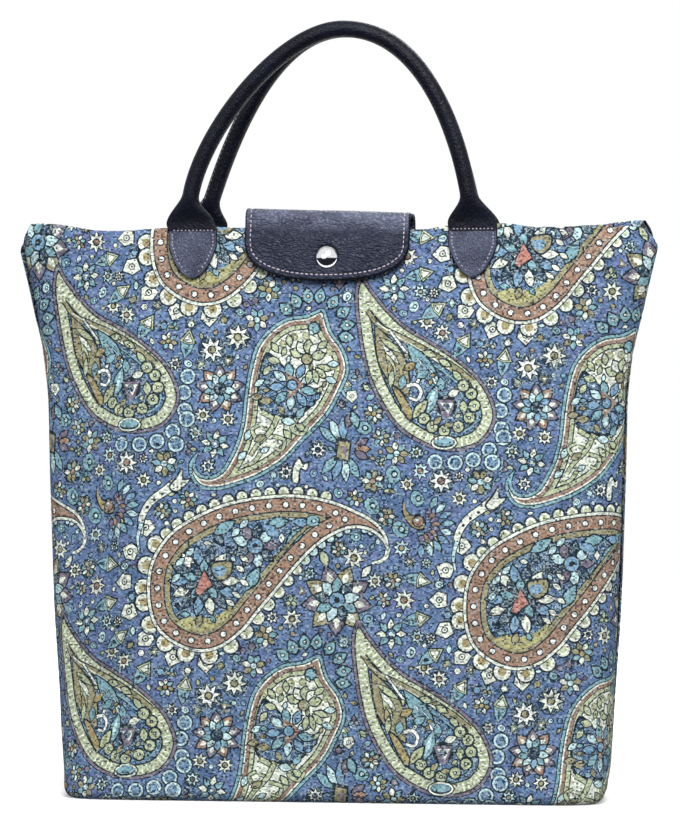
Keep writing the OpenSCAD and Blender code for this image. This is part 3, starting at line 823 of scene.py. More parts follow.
A_HEART = (
    (rimmed, ((388, 732), (397, 735), (404, 746), (412, 762), (406, 768), (397, 754)),
     ((390, 734), (396, 737), (403, 747), (410, 761), (406, 765), (398, 752)), "gold"),
    (stroke, ((386, 676), (398, 692), (408, 706), (416, 722), (412, 732)), 2.0, 3.0, "white"),
    (stroke, ((404, 732), (413, 731), (418, 738), (414, 746), (406, 744)), 3.4, 2.4, "white"),
    (rim_leaf, (404, 690), 0.93, 56, 15, "aqua"),
    (rim_leaf, (412, 703), 0.78, 34, 3.6, "pale", 0.7, 1.0, "deep"),
    (rim_leaf, (415, 705), 0.95, 34, 3.6, "white", 0.7, 1.0, "deep"),
    (rim_leaf, (418, 707), 1.12, 34, 3.6, "sky", 0.7, 1.0, "deep"),
    (rim_leaf, (424, 760), -1.25, 30, 11, "aqua"), (plain_leaf, (425, 756), -1.25, 22, 4, "pale"),
    (rim_leaf, (410, 764), -0.9, 22, 9, "green"), (plain_leaf, (412, 761), -0.9, 14, 3, "olive"),
    (rings, (443, 752), (11, 12, "navy")),
    (add, ((434, 746), (452, 746), (447, 764), (440, 764)), "mauve"),
    (add, ((437, 749), (450, 749), (445, 760)), "cream"), (rings, (443, 753), (4, 8, "deep")))
A_BEADS = ((421, 765), (429, 773), (441, 777), (455, 773), (466, 764), (471, 752), (468, 740), (460, 732))
A_FOOT = ((oval, (441, 789), 14, 14, 8, "navy"), (oval, (441, 789), 12.6, 14, 6.8, "cream"),
          (oval, (441, 789), 10.8, 14, 5.2, "navy"), (oval, (441, 788), 9.8, 12, 4.3, "aqua"))


def boteh_a():
    line = smooth(A_LINE, 5)
    OUTLINES.append(line)
    for c in A_PETALS:
        half_petal(c, 7.5)
    bands(line, A_BORDER)
    for p, n in zip(*even(inset(line, 9.5), 5.2)):
        along = np.array((-n[1], n[0]))
        add([p + a * along + b * n for a, b in A_TICK], "cream")
    bands(line, A_INNER)
    draw(A_STEMS)
    for k, (a, colour) in enumerate(A_FAN):
        rim_leaf(A_FAN_START + k * A_FAN_STEP, a, 26 - 2 * k, 5.5, colour, 0.8)
    draw(A_HEART)
    for c in A_BEADS:
        rim_disc(c, 5.4, "green", 1.3, 9)
        rings(c, (2.2, 6, "navy"), (1.0, 5, "cream"))
    draw(A_FOOT)


# Cream boteh that leans to the left
B_LINE = (
    (324, 308), (332, 330), (345, 349), (350, 370), (342, 392), (328, 417), (304, 442), (285, 462),
    (261, 477), (238, 486), (217, 491), (200, 489), (190, 478), (188, 466), (192, 457), (200, 450),
    (196, 463), (200, 473), (211, 475), (221, 469), (228, 458), (234, 446), (239, 431), (242, 415),
    (244, 395), (248, 370), (255, 346), (269, 328), (287, 317), (306, 314))
B_CROWN_MIDDLE = (313, 332)
B_CROWN = ((286, 309), (296, 301), (308, 296), (320, 296), (333, 302), (343, 312), (347, 325), (346, 337))
B_BORDER = (
    (0, "navy"), (1.1, "aqua"), (3.6, "navy"), (4.7, "cream"), (6.3, "brown"), (9.6, "navy"),
    (10.4, "green"), (14.2, "navy"), (15.5, "cream"))
B_HEART = (
    (rim_disc, (314, 328), 5.2, "aqua"),
    (rimmed,
     ((258, 375), (266, 352), (280, 362), (296, 378), (315, 388), (324, 384), (318, 400), (300, 416),
      (282, 418), (262, 412), (257, 395)),
     ((260, 376), (267, 356), (280, 365), (296, 381), (314, 390), (320, 389), (315, 399), (298, 413),
      (282, 415), (264, 409), (260, 394)),
     "blue"),
    (wheel, (293, 386), 9, turns(9, 0.3), 15, 8, ("aqua", "sky", "pale")),
    (add, ((286, 372), (304, 384), (289, 400)), "brown"),
    (add, ((288, 377), (299, 385), (290, 394)), "green"), (rim_disc, (292, 385), 4.6, "sky", 1.2, 9),
    (wheel, (307, 358), 5, -2.7 + 0.62 * np.arange(5), 13, 9, ("green", "cream")),
    (rim_disc, (307, 359), 5.0, "olive", 1.1, 9),
    (wheel, (312, 364), 6, 0.3 + 0.5 * np.arange(4), 14, 6, ("green",)))
B_BEADS = ((283, 344), (294, 337), (306, 336), (330, 352), (334, 366), (270, 345))
B_LEAVES = (
    (270, 366, 2.2), (264, 380, 2.6), (262, 396, 3.0), (326, 378, 0.4), (328, 364, 0.0), (318, 348, -0.6),
    (290, 346, -1.7), (278, 352, -2.2), (250, 430, 2.0), (284, 430, 0.9), (296, 424, 0.6),
    (246, 452, 2.4))
B_SCROLLS = (
    (((262, 412), (274, 420), (272, 430), (262, 428)), 4.5, 2.2),
    (((278, 416), (270, 432), (258, 444), (250, 456)), 5.0, 3.0),
    (((300, 414), (292, 428), (302, 434), (308, 426)), 4.5, 2.2),
    (((272, 436), (284, 440), (282, 450), (274, 448)), 3.5, 2.0),
    (((256, 438), (252, 430), (260, 425)), 3.5, 2.0), (((262, 450), (254, 462), (243, 466)), 4.0, 2.0))


def boteh_b():
    for x, y in B_CROWN:
        a = math.atan2(y - B_CROWN_MIDDLE[1], x - B_CROWN_MIDDLE[0])
        rim_leaf(spot((x, y), -7, a), a, 15, 10.5, "aqua", 1.2, 0.8)
        rings((x, y), (2.6, 7, "navy"), (1.5, 6, "cream"))
    line = smooth(B_LINE, 4)
    OUTLINES.append(line)
    bands(line, B_BORDER)
    draw(B_HEART)
    for c in B_BEADS:
        rim_disc(c, 2.8, "green", 1.1, 7, "olive")
    for x, y, a in B_LEAVES:
        rim_leaf((x, y), a, 11, 6, ("green", "olive", "pale")[(x + y) % 3], 0.9)
    for points, start, end in B_SCROLLS:
        stroke(points, start, end, "green")


# Large brown boteh with scallops
C_LINE = (
    (147, 588), (151, 562), (163, 541), (180, 525), (215, 507), (250, 498), (292, 494.5), (327, 499.5),
    (355, 510), (376, 522), (387, 537), (388, 550), (381, 539), (368, 530), (350, 528.5), (331.5, 536),
    (314.6, 548), (296, 567), (278, 589), (258.5, 612), (243, 631), (222, 647), (201, 652), (180, 647),
    (160, 633), (150, 614))
C_HEAD = np.array((203.0, 583.0))
C_DROPS = ((100, 104), (124, 104), (148, 100), (170, 100), (192, 100), (214, 104))
C_CREAM_PETALS, C_PETALS_AWAY = (88, 112, 136, 159, 181, 203, 224), 80
C_HEAD_TURN, C_HEAD_X = (85, 225), 215
C_BELLY_X, C_BELLY_Y = (205, 372), 529
C_BACK_X, C_BACK_Y = 330, 540
C_HOOK = ((388, 549), (386, 557), (379, 562), (372, 563))
C_BORDER = ((-1.0, "navy"), (0, "cream"), (2.7, "navy"), (4.1, "rust"))
C_INNER = ((16.2, "navy"), (17.6, "olive"), (22.6, "navy"), (23.6, "blue"))
C_CRESCENT = (
    (178, 622), (190, 617), (206, 618), (222, 613), (232, 603), (228, 616), (215, 627), (198, 631),
    (185, 629))
C_FLOWER = (204, 581)
C_HEART = ((wheel, C_FLOWER, 15, turns(14), 20, 9, ("cream", "sky", "deep")),
           (wheel, C_FLOWER, 7, turns(10, math.pi / 10), 14, 8, ("deep", "aqua")),
           (add, ((196, 588), (204, 568), (214, 586), (206, 592), (200, 598), (192, 595)), "navy"),
           (add, ((197, 587), (204, 571), (212, 585), (205, 590), (200, 595), (195, 593)), "salmon"),
           (rimmed, ((210, 563), (224, 560), (233, 561), (232, 574), (222, 582), (213, 577)),
            ((212, 565), (224, 562), (231, 563), (230, 573), (222, 580), (214, 575)), "olive"),
           (add, smooth(((213, 568), (222, 566), (226, 571), (220, 577), (214, 574)), 4), "sky"),
           (wheel, (255, 546), 7, turns(9), 16, 10, ("mauve", "deep", "pale"), 1.1, 0.8),
           (rim_disc, (255, 546), 7.5, "sky"), (rings, (255, 546), (3.0, 7, "navy")),
           (rim_leaf, (214, 534), -0.55, 24, 10, "aqua"), (rim_leaf, (268, 524), -0.15, 20, 10, "aqua"),
           (rim_leaf, (280, 536), 0.55, -20, 10, "sky"), (rim_leaf, (246, 590), -1.05, 26, 11, "aqua"),
           (rim_leaf, (286, 545), -0.75, 26, 9, "aqua"), (rim_leaf, (292, 521), 0.15, 24, 8, "sky"),
           (stroke, ((276, 560), (292, 541), (308, 526), (318, 520)), 3.2, 2.2, "olive", 4),
           (curl, (313, 521), 6.5, 0))
C_CREAM_LEAVES = ((236, 566), (240, 580), (232, 592), (226, 600), (240, 556))
C_PALE_LEAVES = ((232, 536), (240, 528), (186, 556), (176, 566), (172, 582))


def scallop_size(x, y):
    """Radius of the scallop at a place of the large boteh's outline, 0 where there is none."""
    a = math.degrees(math.atan2(y - C_HEAD[1], x - C_HEAD[0])) % 360
    if C_HEAD_TURN[0] <= a <= C_HEAD_TURN[1] and x < C_HEAD_X:
        return 8.6
    if y > C_BELLY_Y and C_BELLY_X[0] < x < C_BELLY_X[1]:
        return max(2.6, 8.2 - (x - C_HEAD_X) * 0.04)
    if a > C_HEAD_TURN[1] and x < C_BACK_X and y < C_BACK_Y:
        return 5.4
    return 0


def scallops(line):
    last = -99.0
    for k, (p, n) in enumerate(zip(*even(line, 1.0))):
        r = scallop_size(*p)
        if r and k - last >= 2.55 * r:
            last = k
            c = p + n * r * 0.45
            rings(c, (r + 2.0, 11, "navy"), (r, 12, "cream" if r > 5 else "pale"))
            if r > 4.6:
                add(disc(c, r * 0.52, 9), "gold" if r > 8 else "green")


def boteh_c():
    line = smooth(C_LINE, 5)
    OUTLINES.append(line)
    for degrees, away in C_DROPS:
        drop(spot(C_HEAD, away, math.radians(degrees)), math.radians(degrees), 0.95)
    for degrees in C_CREAM_PETALS:
        cream_petal(spot(C_HEAD, C_PETALS_AWAY, math.radians(degrees)), math.radians(degrees), 1.0)
    scallops(line)
    stroke(C_HOOK, 4.5, 2.5, "cream")
    bands(line, C_BORDER)
    for c in even(inset(line, 10.2), 17.0)[0]:
        rim_disc(c, 2.7, "white", 0.9, 8)
    bands(line, C_INNER)
    add(smooth(C_CRESCENT, 4), "yellow")
    draw(C_HEART)
    for c in C_CREAM_LEAVES:
        rim_leaf(c, 0.6, 10, 5, "cream", 0.9)
    for c in C_PALE_LEAVES:
        rim_leaf(c, -0.8, 11, 6, "pale", 0.9)


# Flowers and sprays between the botehs
FLOWERS = (
    (star, (354, 558), 11, 8, 0.2), (star, (375, 581), 8), (star, (292, 619), 10, 8, 0.3),
    (double, (391, 634), 15), (star, (424, 668), 9, 8, 0.1), (burst, (337, 600), 34, 0.2),
    (rim_leaf, (327, 566), -1.9, 16, 8, "green"), (rim_leaf, (362, 577), -0.9, 14, 7, "cream"),
    (burst, (220, 389), 23, 0.5, ("mauve", "rust"), "sky", "deep"), (star, (203, 415), 8, 8, 0.2),
    (star, (228, 419), 8), (double, (215, 444), 14, 0.2), (star, (91, 466), 7.5, 7),
    (star, (143, 480), 8, 8, 0.3), (curl, (101, 480), 8, 1.2), (curl, (77, 456), 9, 1.4),
    (curl, (84, 511), 9, 0.8))
SPRAY = (
    (rimmed,
     ((87, 480), (85, 492), (90, 503), (98, 511), (108, 512), (110, 503), (104, 495), (96, 496),
      (90, 490)),
     ((88, 483), (87, 492), (91, 502), (98, 509), (106, 510), (108, 504), (103, 497), (96, 498),
      (90, 492)),
     "gold"),
    (rim_disc, (102, 503), 5, "rust", 1.0, 9), (rings, (101, 501), (2, 6, "pale")))
SPRAY_MIDDLE = (106, 507)
LILIES = (
    (stroke, ((140, 534), (141, 518), (150, 502), (166, 490), (176, 482)), 5, 9, "cream", 5, 1.2),
    (rings, (147, 507), (1.7, 6, "navy")), (rings, (154, 500), (1.7, 6, "navy")),
    (rings, (162, 494), (1.7, 6, "navy")),
    (stroke, ((139, 552), (137, 538), (141, 522)), 1.5, 4, "pale", 4),
    (rimmed, ((168, 487), (176, 476), (182, 466), (184, 478), (192, 478), (184, 488), (176, 494)),
     ((170, 487), (177, 478), (182, 470), (182, 480), (189, 480), (182, 487), (176, 491)), "cream", 3),
    (rimmed,
     ((291, 482), (292, 466), (299, 456), (304, 462), (310, 461), (307, 472), (301, 470), (300, 484)),
     ((293, 481), (294, 467), (299, 459), (303, 465), (308, 463), (306, 470), (300, 468), (298, 482)),
     "cream", 3),
    (wheel, (344, 449), 9, (-2.4, -2.0, -1.6, 1.1, 1.5, 1.9, 2.3), 24, 8, ("aqua", "pale", "sky")),
    (add, ((336, 436), (352, 440), (350, 462), (334, 460)), "navy"),
    (add, ((339, 441), (350, 443), (348, 460), (337, 457)), "olive"),
    (add, ((341, 446), (348, 448), (346, 458)), "mauve"),
    (wheel, (350, 449), 6, (-0.5, 0.0, 0.5), 14, 7, ("mauve", "rust")), (curl, (364, 428), 8, 0.3),
    (curl, (372, 506), 9, 1.0), (half_petal, (187, 419), 8), (half_petal, (176, 444), 8),
    (drop, (345, 384), 1.4, 0.8), (cream_petal, (352, 396), 1.5, 0.7),
    (rim_leaf, (352, 412), 1.9, 16, 8, "mauve"), (rim_leaf, (352, 412), 1.2, 16, 8, "aqua"))


def fillers():
    draw(FLOWERS)
    draw(SPRAY)
    for i in range(9):
        a = -1.1 + i * 0.34
        rim_leaf(spot(SPRAY_MIDDLE, 9, a), a, 9, 5, ("plum", "brown")[i % 2], 0.8)
        rim_leaf(spot(SPRAY_MIDDLE, 19, a), a, 13, 6, ("aqua", "pale", "sky")[i % 3], 0.9)
    draw(LILIES)


# Small motifs set in the free places
def taken_places(spots, room, moves):
    """Middles and sizes of what is drawn, and a function that takes a place away from the spots."""
    def claim(c, r):
        for m in moves:
            room[:] = np.minimum(room, np.linalg.norm(spots - c - m, axis=1) - r)
    middles = np.array([p.mean(0) for p, _ in SHAPES])
    sizes = np.array([np.linalg.norm(p - p.mean(0), axis=1).max() for p, _ in SHAPES])
    return middles, sizes, claim


def settle(spots, room, claim, limits, motif):
    """Sets motifs on the spots, the largest first, each as large as its place allows."""
    for limit in limits:
        for k in RNG.permutation(len(spots)):
            if room[k] >= limit:
                r = min(room[k], limit * 1.2)
                motif(spots[k], r - 0.5)
                claim(spots[k], r + 0.2)


SPOT_ROWS = (40, 45)
SPOT_START = (320, 460)
MOST_ROOM = 14.0


def scatter():
    """Small flowers, leaves and eyes that fill the ground of one repeat."""
    n, m = SPOT_ROWS
    spots = np.array([SPOT_START + REPEAT[0] * (a + RNG.uniform(0.1, 0.9)) / n
                      + REPEAT[1] * (b + RNG.uniform(0.1, 0.9)) / m for a in range(n) for b in range(m)])
    moves = [i * REPEAT[0] + j * REPEAT[1] for i in range(-2, 3) for j in range(-2, 3)]
    room = np.full(len(spots), MOST_ROOM)
    for line in OUTLINES:
        low, high = line.min(0) - MOST_ROOM - 2, line.max(0) + MOST_ROOM + 2
        for move in moves:
            near = np.where(((spots - move > low) & (spots - move < high)).all(1))[0]
            if len(near):
                room[near] = np.minimum(room[near], outline_room(line, spots[near] - move))
    middles, sizes, claim = taken_places(spots, room, moves)
    apart = np.min([outline_room(line, middles) for line in OUTLINES], axis=0)
    for k in np.where(apart > -6)[0]:
        if sizes[k] < 13:
            claim(middles[k], sizes[k] * 0.84)
        else:
            for corner in SHAPES[k][0][::3]:
                claim(corner, 1.5)
    settle(spots, room, claim, (11.0, 8.0, 6.0, 4.4, 3.1), small_motif)


def fill_inside(line, depth, colours):
    """Little leaves in the free places inside a boteh."""
    inner = inset(line, depth)
    low, high = inner.min(0), inner.max(0)
    spots = grid(np.arange(low[0], high[0], 3.4), np.arange(low[1], high[1], 3.4))
    spots = spots + RNG.uniform(-1.4, 1.4, spots.shape)
    room = -outline_room(inner, spots)
    spots, room = spots[room > 1.5], room[room > 1.5]
    middles, sizes, claim = taken_places(spots, room, [np.zeros(2)])
    for k in np.where((sizes < 16) & (outline_room(inner, middles) < 0))[0]:
        claim(middles[k], sizes[k] * 0.72)

    def sprig(c, r):
        a = RNG.uniform(0, 6.28)
        rim_leaf(spot(c, -r, a), a, 2 * r, 1.15 * r, pick(*colours), 0.8)
    settle(spots, room, claim, (6.0, 4.4, 3.1), sprig)


def pick(*names):
    return names[RNG.integers(len(names))]


WHITES = ("cream", "white", "pale")
DAISY = ("cream", "aqua", "olive")
TRIANGLE = ((1.0, 0), (-0.6, 0.8), (-0.6, -0.8))


def large_filler(c, r, turn, kind):
    """Daisy or star."""
    if kind < 3:
        wheel(c, 0.2 * r, turns(7, turn), 0.78 * r, 0.46 * r, DAISY[kind:] + DAISY[:kind], 0.9)
        rim_disc(c, 0.24 * r, pick("gold", "rust", "pale"), 0.9, 7)
    else:
        star(c, r * 0.95, 8, turn, pick(*WHITES), pick("olive", "rust", "deep"))


def middle_filler(c, r, turn, kind):
    """Star, round leaf, framed triangle or three leaves."""
    if kind < 2:
        star(c, r, 7, turn, pick(*WHITES), pick("olive", "deep", "mauve"))
    elif kind < 4:
        curl(c, r * 0.86, turn, pick("aqua", "sky", "pale", "aqua"))
    elif kind == 4:
        for size, colour in ((1.1, "navy"), (0.9, pick("green", "olive")), (0.58, "navy"), (0.42, "cream")):
            add(placed(TRIANGLE, c, turn, r * size), colour)
    else:
        for a in (turn, turn + 2.1, turn + 4.2):
            rim_leaf(c, a, r, 0.55 * r, pick("olive", "mauve", "green", "aqua"), 0.8)


def small_motif(c, r):
    """One filler of radius r, on a darker spot of ground if it isn't tiny."""
    turn, kind = RNG.uniform(0, 6.28), RNG.integers(6)
    if r > 4.0:
        add(disc(c, r + 2.0, 9), pick("deep", "deep", "blue", "violet"))
    if r > 7.5:
        large_filler(c, r, turn, kind)
    elif r > 4.6:
        middle_filler(c, r, turn, kind)
    elif kind < 3:
        colour = pick("aqua", "pale", "olive", "green", "cream")
        rim_leaf(spot(c, -r, turn), turn, 2 * r, 1.1 * r, colour, 0.8)
    else:
        rim_disc(c, r * 0.72, pick("pale", "cream", "olive", "sky", "mauve"), 0.8, 6)


def tile():
    """One repeat of the print: shapes and their colours, the scattered fillers lowest."""
    boteh_c()
    fill_inside(OUTLINES[0], 24.5, ("sky", "aqua", "cream", "deep", "pale", "olive"))
    fillers()
    boteh_b()
    fill_inside(OUTLINES[1], 16.0, ("green", "olive", "pale", "aqua", "sky"))
    boteh_a()
    fill_inside(OUTLINES[2], 22.5, ("olive", "green", "gold", "aqua", "cream"))
    drawn = len(SHAPES)
    scatter()
    return SHAPES[drawn:] + SHAPES[:drawn]


# Printed cloth
PRINT = tile()
LEFT_TURN_PX, LEFT_SHIFT_PX = (125, 45), 11.0
FLAT_MIDDLE_PX = np.array((335.0, 640.0))
REPEATS = range(-3, 4)


def to_cloth(px):
    """Place on the front cloth, in mm, of a point of the photo; the cloth turns away early at the left."""
    px = px + LEFT_SHIFT_PX * share(*LEFT_TURN_PX, px[:, :1])
    co, si = math.cos(math.radians(CAM_TURN)), math.sin(math.radians(CAM_TURN))
    dx = (px[:, 0] - PHOTO_W / 2) * MM_PER_PX + CAM_X
    dz = (PHOTO_H / 2 - px[:, 1]) * MM_PER_PX
    x, z = dx, CAM_Z + dz
    for _ in range(4):
        y = -half_d(np.clip(z, 0, BAG_H))
        k = CAM_FAR / (CAM_FAR - x * si + y * co)
        x, z = (dx / k - y * si) / co, CAM_Z + dz / k
    return np.stack([x, z], 1)


def to_flat(px):
    return (px - FLAT_MIDDLE_PX) * MM_PER_PX


def laid_out(outline, place, shift):
    """The repeats of the print that fall on an outline, as polygons in mm and their colours."""
    low, high = outline.min(0) - 2, outline.max(0) + 2
    every = np.concatenate([p for p, _ in PRINT])
    ends = np.cumsum([len(p) for p, _ in PRINT])[:-1]
    polygons, colours = [], []
    for i in REPEATS:
        for j in REPEATS:
            parts = np.split(place(every + i * REPEAT[0] + j * REPEAT[1] + shift), ends)
            for q, (_, colour) in zip(parts, PRINT):
                if (q.max(0) > low).all() and (q.min(0) < high).all():
                    polygons.append(q)
                    colours.append(colour)
    return polygons, colours


def printed(name, flat, tris, top, colours, points, directions, outline):
    """Mesh of printed cloth with its colours, flat coordinates and soft shading."""
    low, high = outline.min(0), outline.max(0)
    obj = mesh_object(name + "_cloth", points, tris, [tapestry(name + "_weave", high - low)])
    inks = [(*linear(PALETTE[c]), BUSY if c in BUSY_COLOURS else 1.0) for c in colours]
    table = np.array([(0, 0, 0, 0)] + inks, np.float32)
    layer = obj.data.attributes.new("Print", "FLOAT_COLOR", "CORNER")
    layer.data.foreach_set("color", np.repeat(table[top], 3, axis=0).ravel())
    uv = obj.data.uv_layers.new(name="OFBake")
    uv.data.foreach_set("uv", ((flat - low) / (high - low))[tris].astype(np.float32).ravel())
    obj.data.normals_split_custom_set_from_vertices(directions.tolist())
    return obj


# Panels and base
EDGE_POINTS = 70
SEAM_ROWS = (0.8, 1.8, 3.2)
GRID_X, GRID_STEP, EDGE_STEP = 210, 6.0, 7.0
BASE_IN = 6.2
BASE_GRID_X, BASE_GRID_Y, BASE_STEP = 168, 32, 8.0


def ring_height(t):
    over = np.clip(t - TOP_0 - math.pi * HEM_R, 0, None)
    return np.where(t < BASE_R, 0.0, np.minimum(t, TOP_0)) - over


def panel_outline():
    rolled, plain = np.linspace(T_LOW, BASE_R, 9), np.linspace(BASE_R, TOP_0, 62)[1:]
    t = np.concatenate([rolled, plain, np.linspace(TOP_0, T_HIGH, 14)[1:]])
    g = half_girth(ring_height(t))
    across = np.linspace(-1, 1, EDGE_POINTS + 2)[1:-1]
    right, left = np.stack([g, t], 1), np.stack([-g, t], 1)[::-1]
    bottom = np.stack([across * g[0], np.full(EDGE_POINTS, T_LOW)], 1)
    top = np.stack([-across * g[-1], np.full(EDGE_POINTS, T_HIGH)], 1)
    return np.concatenate([bottom, right, top, left])


def panel_grid(outline):
    """Points that let the cloth bend: a plain grid, and closer rows at the base, the hem and the seams."""
    body = grid(np.arange(-GRID_X, GRID_X + 1, GRID_STEP), np.arange(10, TOP_0 - 2, GRID_STEP))
    hem = np.concatenate([np.arange(TOP_0 - 1.6, TOP_0 + 5.5, 0.55), [TOP_0 + 10, TOP_0 + 14]])
    rows = np.concatenate([np.arange(T_LOW + 0.8, 9.5, 1.3), hem])
    edges = grid(np.arange(-GRID_X, GRID_X + 1, EDGE_STEP), rows)
    up = np.arange(T_LOW + 2, T_HIGH - 1, GRID_STEP)
    g = half_girth(ring_height(up))
    seams = [np.stack([side * (g - d), up], 1) for side in (-1, 1) for d in SEAM_ROWS]
    return inside_of(outline, np.concatenate([body, edges] + seams), 0.4)


PANEL = panel_outline()
PANEL_GRID = panel_grid(PANEL)


def panel(name, shift, facing):
    """Front or back panel; facing is 1 for the front and -1 for the back."""
    polygons, colours = laid_out(PANEL, to_cloth, np.array(shift))
    flat, tris, top = flat_mesh(PANEL, polygons, PANEL_GRID)
    turned = (facing, facing, 1)
    points = panel_point(flat[:, 0], flat[:, 1]) * turned
    directions = cloth_normals(flat[:, 0], flat[:, 1]) * turned
    obj = printed(name, flat, tris, top, colours, points, directions, PANEL)
    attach(obj, "bag")
    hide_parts(name)


def base():
    """Flat cloth inside the rolled edges of the panels."""
    low = np.zeros(60)
    x, y, nx, ny = wall(np.linspace(0, 1, 60) * half_girth(low), low)
    arc = np.stack([x - nx * BASE_IN, y - ny * BASE_IN], 1)
    quarters = (arc, (arc * (1, -1))[::-1], -arc, (arc * (-1, 1))[::-1])
    ring = np.concatenate([q[:-1] for q in quarters])
    polygons, colours = laid_out(ring, to_flat, np.zeros(2))
    across = np.arange(-BASE_GRID_X, BASE_GRID_X + 1, BASE_STEP)
    deep = np.arange(-BASE_GRID_Y, BASE_GRID_Y + 1, BASE_STEP)
    flat, tris, top = flat_mesh(ring, polygons, inside_of(ring, grid(across, deep), 1.0))
    rise = 0.3 + 0.5 * np.exp(-np.abs(outline_room(ring, flat)) / 1.5)
    down = np.tile((0.0, 0.0, -1.0), (len(flat), 1))
    obj = printed("base_panel", flat, tris[:, ::-1], top, colours, np.column_stack([flat, rise]), down, ring)
    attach(obj, "bag")
    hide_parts("base_panel")


# Lining and zip tapes; a roll has a height and how far in it lies, a stitch a length and a radius
LINING_ROLL = ((LINING_LOW, 4.0), (3.6, 2.2), (5.2, 0.8), (8.0, 0.1))
LINING_FLOOR = (0.06, 0.35, 0.7, 0.92)
TAPE_LEVEL, TAPE_POINTS = 8.0, 119
TAPE_PITCH, TAPE_STITCH = 3.6, (2.5, 0.28)


def lining_slack(around, arm, h):
    """How far the lining hangs away from the cloth."""
    slack = 1.1 + 0.8 * np.sin(around / 21 + h / 35) + 0.5 * np.sin(around / 9 - h / 17)
    slack = slack + 0.5 * np.sin(h / 13 + around / 60)
    free = share(0, 20, h) - share(LINING_TOP - 22, LINING_TOP - 4, h)
    return np.maximum(slack, 0) * free * (1 - share(0.93, 1, arm) * 0.8)


def lining():
    """Thin loose lining that hangs from under the hem, with its floor."""
    levels = LINING_ROLL + tuple((h, 0.0) for h in np.linspace(12, LINING_TOP, 60))
    turn = np.arange(240) / 60
    arm = 1 - np.abs(1 - turn % 2)
    facing = np.where((turn >= 1) & (turn < 3), -1.0, 1.0)
    side = np.where(turn < 2, 1.0, -1.0)
    rows, rest = [], []
    for h, roll in levels:
        g = float(half_girth(h))
        x, y, nx, ny = wall(arm * g * side * facing, np.full(len(turn), h))
        inward = mix(LINING_IN, 1.6, share(LINING_TOP - 6, LINING_TOP - 2, h)) + roll
        inward = inward + lining_slack(turn * g, arm, h)
        height = np.full(len(turn), h)
        rows.append(np.stack([(x - nx * inward) * facing, (y - ny * inward) * facing, height], 1))
        rest.append(np.stack([turn * g, height, np.zeros(len(turn))], 1))
    floor = [np.column_stack([rows[0][:, :2] * f, np.full(len(turn), LINING_LOW)]) for f in LINING_FLOOR]
    floor_rest = [p * (1, 1, 0) for p in floor]
    faces = [f[::-1] for f in grid_faces(len(floor) + len(rows), len(turn), True)]
    faces.append(tuple(range(len(turn))))
    obj = mesh_object("lining_cloth", np.concatenate(floor + rows), faces, [LINING_CLOTH])
    add_rest(obj, np.concatenate(floor_rest + rest))
    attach(obj, "bag")
    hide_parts("lining")


def hem_inside(x):
    """Depth of the hem's inner face at the zip."""
    w, d = half_w(ZIP_Z) - HEM_T, half_d(ZIP_Z) - HEM_T
    return d * (1 - np.abs(x / w) ** TOP_SQUARE) ** (1 / TOP_BLUNT)


def tape(name, side):
    """Zip tape: level from the teeth to the hem, then turned down along the hem, with a line of stitches."""
    x = np.linspace(-TAPE_HALF, TAPE_HALF, TAPE_POINTS)
    edge = hem_inside(x) - 0.15
    rows, rest = [], []
    for v in np.linspace(0, 1, 7):
        wavy = ZIP_Z + 0.25 * np.sin(x / 23) * np.sin(math.pi * v)
        rows.append(np.stack([x, side * mix(ROW_OUT - 0.9, edge, v), wavy], 1))
        rest.append(np.stack([x, np.full(len(x), TAPE_LEVEL * v), np.zeros(len(x))], 1))
    for v in (0.25, 0.6, 1.0):
        rows.append(np.stack([x, side * edge, np.full(len(x), ZIP_Z - TAPE_TURNED * v)], 1))
        rest.append(np.stack([x, np.full(len(x), TAPE_LEVEL + TAPE_TURNED * v), np.zeros(len(x))], 1))
    faces = [f[::side] for f in grid_faces(len(rows), len(x), False)]
    at = np.arange(-TAPE_HALF + 4, TAPE_HALF - 3, TAPE_PITCH)
    line = side * (hem_inside(at) - 1.7)
    sewn = stitches([((a, y, ZIP_Z + 0.25), (1, 0, 0), (0, 0, 1)) for a, y in zip(at, line)], *TAPE_STITCH)
    points, places = np.concatenate(rows), np.concatenate(rest)
    looks = [TAPE_CLOTH, TAPE_THREAD]
    obj = sewn_object(name + "_cloth", points, faces, [0] * len(faces), places, [sewn], looks)
    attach(obj, "bag")
    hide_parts(name)


# Leather flap
def flap_path():
    """Middle line of the flap's leather in depth and height: up the back, over the mouth, down the front."""
    half = FLAP_T / 2
    z = np.linspace(ANCHOR_LOW, BAG_H, 40)
    back = np.stack([half_d(z) + SEWN_GAP + half, z], 1)
    bend = np.array((half_d(BAG_H) + SEWN_GAP + half, BAG_H + FLAP_RISE - half)) - FLAP_BEND
    a = np.linspace(0, math.pi / 2, 20)
    over = bend + FLAP_BEND * np.stack([np.cos(a), np.sin(a)], 1)
    z = np.linspace(BAG_H + 1.5, FLAP_LOW, 60)
    gap = mix(SEWN_GAP, UNDER_FLAP, ease((BAG_H + 2 - z) / (STUD_DROP * 0.62)))
    front = np.stack([-(half_d(np.minimum(z, BAG_H)) + gap + half), z], 1)
    path = np.concatenate([back, over, over[::-1] * (-1, 1), front])
    run = path_run(path)
    at = np.arange(0, run[-1], 0.5)
    columns = np.transpose(on_path(at, run, path))
    return at, np.stack([softened(c, 9, mode="reflect", reflect_type="odd") for c in columns], 1)


FLAP_RUN, FLAP_PATH = flap_path()
FLAP_L = FLAP_RUN[-1]
FLAP_ALONG = np.gradient(FLAP_PATH, FLAP_RUN, axis=0)


